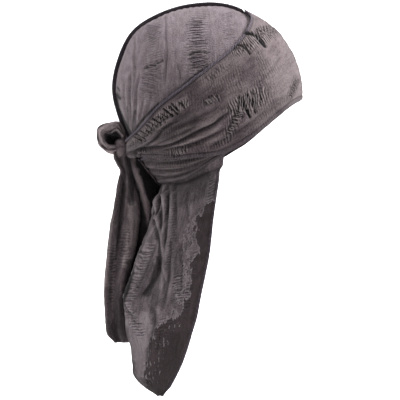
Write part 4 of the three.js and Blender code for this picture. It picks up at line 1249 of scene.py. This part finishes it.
def knot_ball():
    columns, rows = KNOT_GRID
    turn, up = np.meshgrid(np.linspace(0, 2 * math.pi, columns, endpoint=False),
                           np.linspace(0.02, 0.98, rows) * math.pi, indexing="ij")
    ball = np.stack([np.cos(turn) * np.sin(up), np.cos(up), np.sin(turn) * np.sin(up)], -1)
    size = np.full(ball.shape[:2], KNOT_CORE)
    for axis, half, stand in KNOT_TURNS:
        across = ball @ unit(np.array(axis))
        band = np.sqrt(np.clip(1 - (across / half) ** 2, 0, 1))
        pleats = 0.02 * np.cos(across / half * 11)
        size = np.maximum(size, KNOT_CORE + (0.16 + stand) * band ** 0.6 + pleats * (band > 0.2))
    size = np.minimum(size + 0.02 * noise(ball * 10, 3, 71), KNOT_MOST)
    points = knot_centre + ball * size[..., None] * np.array([KNOT_DEPTH, KNOT_WIDTH, KNOT_HEIGHT]) / 2
    faces = grid_faces(columns, rows, closed=True, turned=True).tolist()
    faces += [[i * rows for i in range(columns)], [i * rows + rows - 1 for i in range(columns)][::-1]]
    marks = blank_marks(points.shape[:2])
    # Painted shade between the turns, and painted highlights on the turns that stand out most
    marks["deep"] = 0.8 * (1 - smooth(0.93, 1.02, size))
    marks["pale"] = 0.25 * smooth(1.04, 1.14, size)
    uv = np.stack([ball[..., 0] * 11 + ball[..., 1] * 9, ball[..., 2] * 12], -1)
    piece = make_mesh("knot_turns", points.reshape(-1, 3), faces, uv.reshape(-1, 2), marks)
    mesh = bmesh.new()
    mesh.from_mesh(piece.data)
    bmesh.ops.recalc_face_normals(mesh, faces=mesh.faces)
    mesh.to_mesh(piece.data)
    mesh.free()
    return piece


# How far the folds of the loop turn round it along its length
LOOP_TWIST = 0.5


def bow_loop():
    """The loop left in the tie: a soft tube of cloth bent round from the knot's top to its foot."""
    centre = knot_centre + np.array([LOOP_LENGTH * LOOP_PLACE[0], 0, LOOP_HEIGHT * LOOP_PLACE[1]])
    columns, rows = LOOP_GRID
    section = np.linspace(0, 2 * math.pi, columns, endpoint=False)[:, None] + math.pi
    turn = np.linspace(LOOP_SECTIONS[0, 0], LOOP_SECTIONS[-1, 0], rows)[None, :] * np.ones((columns, 1))
    reach, thick, wide = (sections(LOOP_SECTIONS, turn, k) for k in (1, 2, 3))
    bend = np.radians(turn)
    outward = np.stack([np.cos(bend), 0 * bend, np.sin(bend)], -1)
    drawn = reach * (1 - LOOP_CLOSING * np.maximum(0, np.sin(section)))
    middle = centre + np.stack([LOOP_LENGTH / 2 * drawn * np.cos(bend), 0 * bend,
                                LOOP_HEIGHT / 2 * drawn * np.sin(bend)], -1)
    pleats = 0.7 * np.cos(5 * section + 2.5 * bend) + 0.45 * np.cos(9 * section - 3 * bend)
    half = LOOP_THICKNESS / 2 * thick * (1 - LOOP_FLAT * (1 - np.cos(2 * section))) + pleats
    points = middle + outward * (half * np.cos(section))[..., None]
    points[..., 1] += (LOOP_WIDTH / 2 * wide + pleats) * np.sin(section)
    points = points + 0.5 * outward * noise(points, 6, 81)[..., None]
    marks = blank_marks(points.shape[:2])
    marks["run"] = 0.35 * smooth(0.2, 0.4, noise(points, 8, 83))
    # Painted shade inside the loop and along its folds; the rest is painted pale as highlight
    inside = np.maximum(smooth(0.5, 0.9, -np.cos(section)), smooth(0.3, 0.7, np.sin(section)))
    grooves = np.exp(-((np.cos(section + LOOP_TWIST * bend) - 0.5) / 0.14) ** 2)
    grooves = np.maximum(grooves, 0.8 * np.exp(-((np.cos(section - LOOP_TWIST * bend) - 0.1) / 0.12) ** 2))
    marks["deep"] = np.maximum(0.9 * inside, 0.7 * grooves) * np.ones_like(turn)
    marks["pale"] = 1 - marks["deep"]
    return cloth_piece("bow_loop", points, points - middle, marks, closed=True)


knot = finish_piece(knot_ball(), tie_knit, "tie_knit", "knot")
loop = finish_piece(bow_loop(), tie_knit, "tie_knit", "knot_loop")


# Tie ends

END_CREASES = [
    ([(124, 176), (121, 205), (118, 236), (116, 268)], 1.6, 1.4, 0.8, 0.8),
    ([(113, 216), (111, 250), (110, 290), (112, 322)], 1.4, 0.8, 0.5, 0.5),
    ([(131, 196), (131, 222), (129, 248)], 1.5, 0.7, 0.6, 0.5),
    ([(120, 280), (118, 304), (119, 330)], 1.8, 0.9, 0.5, 0.5),
]
# Where one fold of a tie end lies in the shade of the next
END_SHADOWS = [
    ([(127, 158), (130, 172), (131.5, 186), (132, 204)], 3.0, 0.75),
    ([(131, 190), (133, 206), (133, 228)], 2.2, 0.4),
    ([(124, 186), (122, 204), (120, 222), (117, 236)], 4.5, 0.55),
    ([(131, 262), (127, 284), (122, 306), (119, 326)], 4.5, 0.7),
    ([(112, 334), (118, 339), (124, 341)], 3.5, 0.4),
    ([(124, 300), (120, 320), (120, 342)], 9, 0.6),
    ([(106, 326), (112, 332), (118, 340)], 7, 0.4),
    ([(118, 178), (117, 200), (115, 220)], 4.5, 0.35),
]
# Painted highlights on the lit ridges of the tie end
END_PALE = [
    ([(133, 206), (134, 226), (131, 248), (127, 264)], 5.5, 0.7),
    ([(114, 196), (110, 226), (108, 256), (107, 284)], 3.5, 0.4),
]
END_LADDERS = [
    ([(113, 248), (112, 275), (111, 300)], 5, 0.35),
    ([(126, 232), (126, 248), (124, 262)], 6, 0.35),
]


# How much wider the end gets toward its foot, as a share of its width
BACK_END_SPREAD = 0.07


def back_end():
    columns, rows = BACK_END_GRID
    down = np.linspace(BACK_END_SECTIONS[0, 0], BACK_END_SECTIONS[-1, 0], rows)[None, :]
    down = down * np.ones((columns, 1))
    fold = rounded(BACK_END_FOLD, np.linspace(0, 1, columns))
    left, right, depth = (sections(BACK_END_SECTIONS, down, k) for k in (1, 2, 3))
    right = right + BACK_END_SPREAD * smooth(0.65, 0.85, down)
    x = knot_centre[0] + TIE_END_WIDTH * (left + (right - left) * fold[:, :1])
    y = knot_centre[1] + TIE_END_DEPTH * depth * fold[:, 1:]
    points = np.stack([x, y, knot_centre[2] - TIE_END_LENGTH * down], -1)
    middle = np.stack([points[..., 0].mean(0), points[..., 1].mean(0), points[..., 2].mean(0)], -1)[None]
    outward = points - middle
    facing = normals(points)
    facing = facing * np.sign(np.sum(facing * outward))
    near = smooth(0, 0.3, -facing[..., 1])
    places = side_places(points)
    folds, shade = creases(places, END_CREASES)
    rise = near * folds + 0.5 * noise(points * np.array([1, 1, 0.4]), 9, 91)
    rise += 0.25 * noise(points, 4, 92)
    marks = blank_marks(points.shape[:2])
    marks["run"] = patches(places, END_LADDERS) * near
    # Painted shade in the grooves and in the folds in shade, and painted highlights on the ridges
    marks["deep"] = np.maximum(CREASE_SHADE * near * shade, patches(places, END_SHADOWS))
    marks["pale"] = patches(places, END_PALE)
    marks = paint_fold_light(marks, rise)
    first = np.linalg.norm(points - points[:1], axis=-1)
    last = np.linalg.norm(points - points[-1:], axis=-1)
    marks["hem"] = np.maximum(1 - smooth(*END_HEM, first), 1 - smooth(*END_HEM, last))
    raised = lift_along(points, facing, CLOTH_WALL / 2 + rise)
    return cloth_piece("tie_end_cloth_back", raised, outward, marks, ladder_across=True)


# It starts inside the knot's shade. Its flanks spread by a share of its width, most at the top
SIDE_END_TOP = 0.01
FLANK_SPREAD = 0.15
TOP_FLANK = 1.2
# The lit crest of the tie end at the side, given a painted highlight; its flanks run back into
# the dark and are painted near black as shade
SIDE_CREST = [
    ([(131, 152), (133.5, 164), (137.5, 177)], 3.2, 0.8),
    ([(135.5, 170), (138.5, 180), (142.5, 192), (146, 203), (149, 213), (151, 223)], 3.8, 1.0),
    ([(149, 222), (149.5, 232), (148, 242)], 3.5, 0.5),
]


def side_end():
    columns, rows = SIDE_END_GRID
    s = np.linspace(0, 1, columns)[:, None]
    down = np.linspace(SIDE_END_TOP, SIDE_END_SECTIONS[-1, 0], rows)[None, :] * np.ones((columns, 1))
    left, right, crest, near, far = (sections(SIDE_END_SECTIONS, down, k) for k in (1, 2, 3, 4, 5))
    left = left - 2 * FLANK_SPREAD
    right = right + FLANK_SPREAD * (1 + TOP_FLANK * (1 - smooth(0.05, 0.12, down)))
    along = np.where(s < 0.5, left + (crest - left) * 2 * s, crest + (right - crest) * (2 * s - 1))
    fold = np.cos((2 * s - 1) * math.pi / 2).clip(0) ** SIDE_END_CREST
    points = np.stack([knot_centre[0] + TIE_END_WIDTH * along,
                       knot_centre[1] + TIE_END_DEPTH * (far + (near - far) * fold),
                       knot_centre[2] - TIE_END_LENGTH * down], -1)
    facing = normals(points)
    facing = facing * np.sign(-facing[..., 1].sum())
    rise = 0.5 * noise(points * np.array([1, 1, 0.3]), 7, 95) + 0.25 * noise(points, 3.5, 96)
    marks = blank_marks(points.shape[:2])
    crest_light = patches(side_places(points), SIDE_CREST)
    # Painted shade on the flanks, painted highlight on the crest
    marks["deep"] = 0.88 * (1 - crest_light)
    marks["pale"] = 0.25 * crest_light
    return cloth_piece("tie_end_cloth_side", lift_along(points, facing, CLOTH_WALL / 2 + rise),
                       np.array([0, -1.0, 0]), marks, ladder_across=True)


end_back = finish_piece(back_end(), tie_knit, "tie_knit", "tie_end_back")
end_side = finish_piece(side_end(), tie_knit, "tie_knit", "tie_end_side")


# Cape

def fold_sink(place, down):
    sink = np.zeros(np.broadcast(place, down).shape)
    for top, bottom, first, last, width, depth in CAPE_FOLDS:
        along = (down - first) / (last - first)
        line = top + (bottom - top) * along
        strength = np.clip(np.minimum(along / FOLD_RUN_IN, (1 - along) / FOLD_RUN_OUT), 0, 1)
        sink += depth * strength * np.exp(-((place - line) / width) ** 2)
    return sink


def cape_middle(s, t):
    """Places on the middle of the cape's cloth: s from its right side edge to its left, t down."""
    rim_rows = [direction(RIGHT, out, turn) for out, turn in CROWN_EDGE[4:]]
    rim_rows += [direction(LEFT, out, turn) for out, turn in CROWN_EDGE[4:][::-1]]
    rim = rounded(np.stack(rim_rows), s)
    nape = on_form(direction(RIGHT, 90, CROWN_BACK_TURN), CLOTH_WALL / 2)

    def below(toward, drop):
        lowered = toward.copy()
        lowered[..., 2] = lowered[..., 2] - drop / CROWN_RISE
        return unit(lowered)

    w = 2 * s - 1
    start = below(rim, CLOTH_WALL + PIECE_GAP)
    top = on_form(start, CLOTH_WALL / 2)
    tip = nape[2] - CAPE_LENGTH
    fall = (top[..., 2] - tip) * t
    held = on_form(below(start, fall), CLOTH_WALL / 2)
    z = top[..., 2] - fall
    down = np.clip((nape[2] - z) / CAPE_LENGTH, 0, 1)
    back = CAPE_DEPTH * sections(CAPE_SECTIONS, down, 1)
    front = CAPE_DEPTH * sections(CAPE_SECTIONS, down, 2)
    half = CAPE_WIDTH / 2 * sections(CAPE_SECTIONS, down, 3)
    bend = w * math.pi / 2
    room = np.minimum(1, half / (CAPE_WIDTH * CAPE_FOLD_ROOM))
    sink = fold_sink(w, down) * CAPE_FOLD_DEPTH * room
    outward = unit(np.stack([-np.cos(bend) * half, np.sin(bend) * (front - back)], -1))
    free = np.stack([nape[0] + back + (front - back) * (1 - np.cos(bend)) + sink * outward[..., 0],
                     half * np.sin(bend) + sink * outward[..., 1], z], -1)
    loose = smooth(CAPE_LAP, CAPE_LAP + CAPE_SPRING, fall)[..., None]
    return held + (free - held) * loose


def cape_cloth():
    columns, rows = CAPE_GRID
    s = fine_edges(columns, 0.03, 9)[:, None] * np.ones((1, rows))
    t = np.linspace(0, 1, rows)[None, :] ** 1.05 * np.ones((columns, 1))
    middle = cape_middle(s, t)
    outward = middle - np.array([10.0, 0, 0]) - middle * np.array([0, 0, 1.0])
    facing = normals(middle)
    facing = facing * np.sign(np.sum(facing * outward))
    near = smooth(-0.1, 0.35, -facing[..., 1])
    far = smooth(-0.1, 0.35, facing[..., 1])
    places = side_places(middle)
    far_places = places + np.array(FAR_CAPE_SHIFT)
    free = smooth(6, 20, (middle[:, :1, 2] - middle[..., 2]))
    near_rise, near_shade = creases(places, CAPE_CREASES)
    far_rise, far_shade = creases(far_places, CAPE_CREASES)
    rise = near * near_rise + far * far_rise
    rise += 0.8 * noise(middle * np.array([1, 1, 0.25]), 14, 101) + 0.3 * noise(middle, 6, 102)
    rise = rise * free
    marks = blank_marks(s.shape)
    marks["run"] = np.maximum(near * patches(places, CAPE_LADDERS), far * patches(far_places, CAPE_LADDERS))
    marks["bare"] = np.maximum(near * beyond(places, CAPE_BARE_EDGE),
                               far * beyond(far_places, CAPE_BARE_EDGE))
    half_worn = near * patches(places, CAPE_WORN) + far * patches(far_places, CAPE_WORN)
    marks["bare"] = marks["bare"] + half_worn * (1 - 2 * marks["bare"])
    # Painted shade in the grooves and in the shaded places, and painted highlights on the ridges
    shaded = np.maximum(CREASE_SHADE * near_shade, patches(places, CAPE_SHADOWS))
    marks["deep"] = np.maximum(near * shaded, CREASE_SHADE * far * far_shade)
    marks["pale"] = 0.8 * np.maximum(near * patches(places, CAPE_PALE), far * patches(far_places, CAPE_PALE))
    marks = paint_fold_light(marks, rise * (1 - marks["bare"]))
    first, last = edge_distance(middle.transpose(1, 0, 2))
    edge = np.minimum(first, last).T
    edge_rise, edge_hem, _ = hem(edge, CAPE_HEM)
    marks["hem"] = 0.3 * edge_hem
    raised = lift_along(middle, facing, CLOTH_WALL / 2 + rise + edge_rise)
    return cloth_piece("cape_cloth", raised, outward, marks, ladder_across=True)


cape = finish_piece(cape_cloth(), cape_knit, "cape_knit", "cape")


# Floor, light and camera

FLOOR_LEVEL = -0.46
FLOOR_SIDE = 5.0
FLOOR_FRONT = -0.8
SWEEP_START = 3.4
SWEEP_RADIUS = 2.0
SWEEP_TOP = 6.0
OBJECT_MIDDLE = (0.0, 0.0, -0.12)
KEY_PLACE = (1.65, -0.45, 1.35)
KEY_POWER = 82
KEY_SIZE = 0.9
TOP_PLACE = (-0.3, -0.2, 2.0)
TOP_POWER = 30
TOP_SIZE = 1.2
BACK_PLACE = (-1.4, 0.1, 0.9)
BACK_POWER = 24
BACK_SIZE = 0.9
FILL_STRENGTH = 0.15
# A lamp over the paper lights it white, and its cone stops short of the object
PAPER_LAMP_PLACE = (0.0, 2.8, 3.6)
PAPER_LAMP_AIM = (0.0, 4.0, -0.4)
PAPER_LAMP_CONE = 96
PAPER_LAMP_POWER = 1700


def studio_sweep():
    """White paper that lies under the object and turns up behind it in one curve."""
    run = [(FLOOR_FRONT, 0)] + [
        (SWEEP_START + SWEEP_RADIUS * math.sin(turn), SWEEP_RADIUS * (1 - math.cos(turn)))
        for turn in np.linspace(0, math.pi / 2, 25)
    ] + [(SWEEP_START + SWEEP_RADIUS, SWEEP_TOP)]
    corners = [(x, y, FLOOR_LEVEL + z) for x in (-FLOOR_SIDE, FLOOR_SIDE) for y, z in run]
    count = len(run)
    faces = [(i, i + count, i + count + 1, i + 1) for i in range(count - 1)]
    sweep = make_mesh("studio_sweep", np.array(corners) / MM, faces)
    material, tree, shader = new_material("white seamless paper")
    place = add(tree, "ShaderNodeTexCoord").outputs["Object"]
    grain = add(tree, "ShaderNodeTexNoise", {"Vector": place, "Scale": 300.0, "Detail": 2.0}).outputs[0]
    bump = add(tree, "ShaderNodeBump", {"Strength": 0.2, "Distance": 0.0002, "Height": grain})
    tree.links.new(bump.outputs[0], shader.inputs["Normal"])
    shader.inputs["Base Color"].default_value = linear("#f7f7f7")
    shader.inputs["Roughness"].default_value = 0.95
    sweep.data.materials.append(material)


def soft_light(name, place, aim, size, power):
    data = bpy.data.lights.new(name, "AREA")
    data.shape = "DISK"
    data.size = size
    data.energy = power
    light = bpy.data.objects.new(name, data)
    light.location = place
    light.rotation_euler = (Vector(aim) - Vector(place)).to_track_quat("-Z", "Y").to_euler()
    bpy.context.collection.objects.link(light)


def paper_lamp():
    data = bpy.data.lights.new("paper_lamp", "SPOT")
    data.energy = PAPER_LAMP_POWER
    data.shadow_soft_size = 0.4
    data.spot_size = math.radians(PAPER_LAMP_CONE)
    data.spot_blend = 0.1
    lamp = bpy.data.objects.new("paper_lamp", data)
    lamp.location = PAPER_LAMP_PLACE
    aim = Vector(PAPER_LAMP_AIM) - Vector(PAPER_LAMP_PLACE)
    lamp.rotation_euler = aim.to_track_quat("-Z", "Y").to_euler()
    bpy.context.collection.objects.link(lamp)


studio_sweep()
soft_light("key_light", KEY_PLACE, OBJECT_MIDDLE, KEY_SIZE, KEY_POWER)
soft_light("top_light", TOP_PLACE, OBJECT_MIDDLE, TOP_SIZE, TOP_POWER)
soft_light("back_light", BACK_PLACE, OBJECT_MIDDLE, BACK_SIZE, BACK_POWER)
paper_lamp()

world = bpy.data.worlds.new("white studio")
world.use_nodes = True
world.node_tree.nodes["Background"].inputs["Color"].default_value = (1, 1, 1, 1)
world.node_tree.nodes["Background"].inputs["Strength"].default_value = FILL_STRENGTH
bpy.context.scene.world = world
bpy.context.scene.view_settings.view_transform = "Standard"

# The frame is 400 squares of 1.05 mm wide, seen square on from its right side
CAMERA_DISTANCE = 3.0
FRAME_SQUARES = 400
SENSOR_WIDTH = 36
camera_data = bpy.data.cameras.new("camera")
camera_data.sensor_width = SENSOR_WIDTH
camera_data.lens = SENSOR_WIDTH * CAMERA_DISTANCE / (FRAME_SQUARES * SIDE_SQUARE * MM)
camera = bpy.data.objects.new("camera", camera_data)
half_frame = FRAME_SQUARES / 2 * SIDE_SQUARE
camera.location = (
    (SIDE_CORNER[0] + half_frame) * MM, -CAMERA_DISTANCE, (SIDE_CORNER[1] - half_frame) * MM)
camera.rotation_euler = (math.pi / 2, 0, 0)
camera_data.clip_end = 30
bpy.context.collection.objects.link(camera)
bpy.context.scene.camera = camera
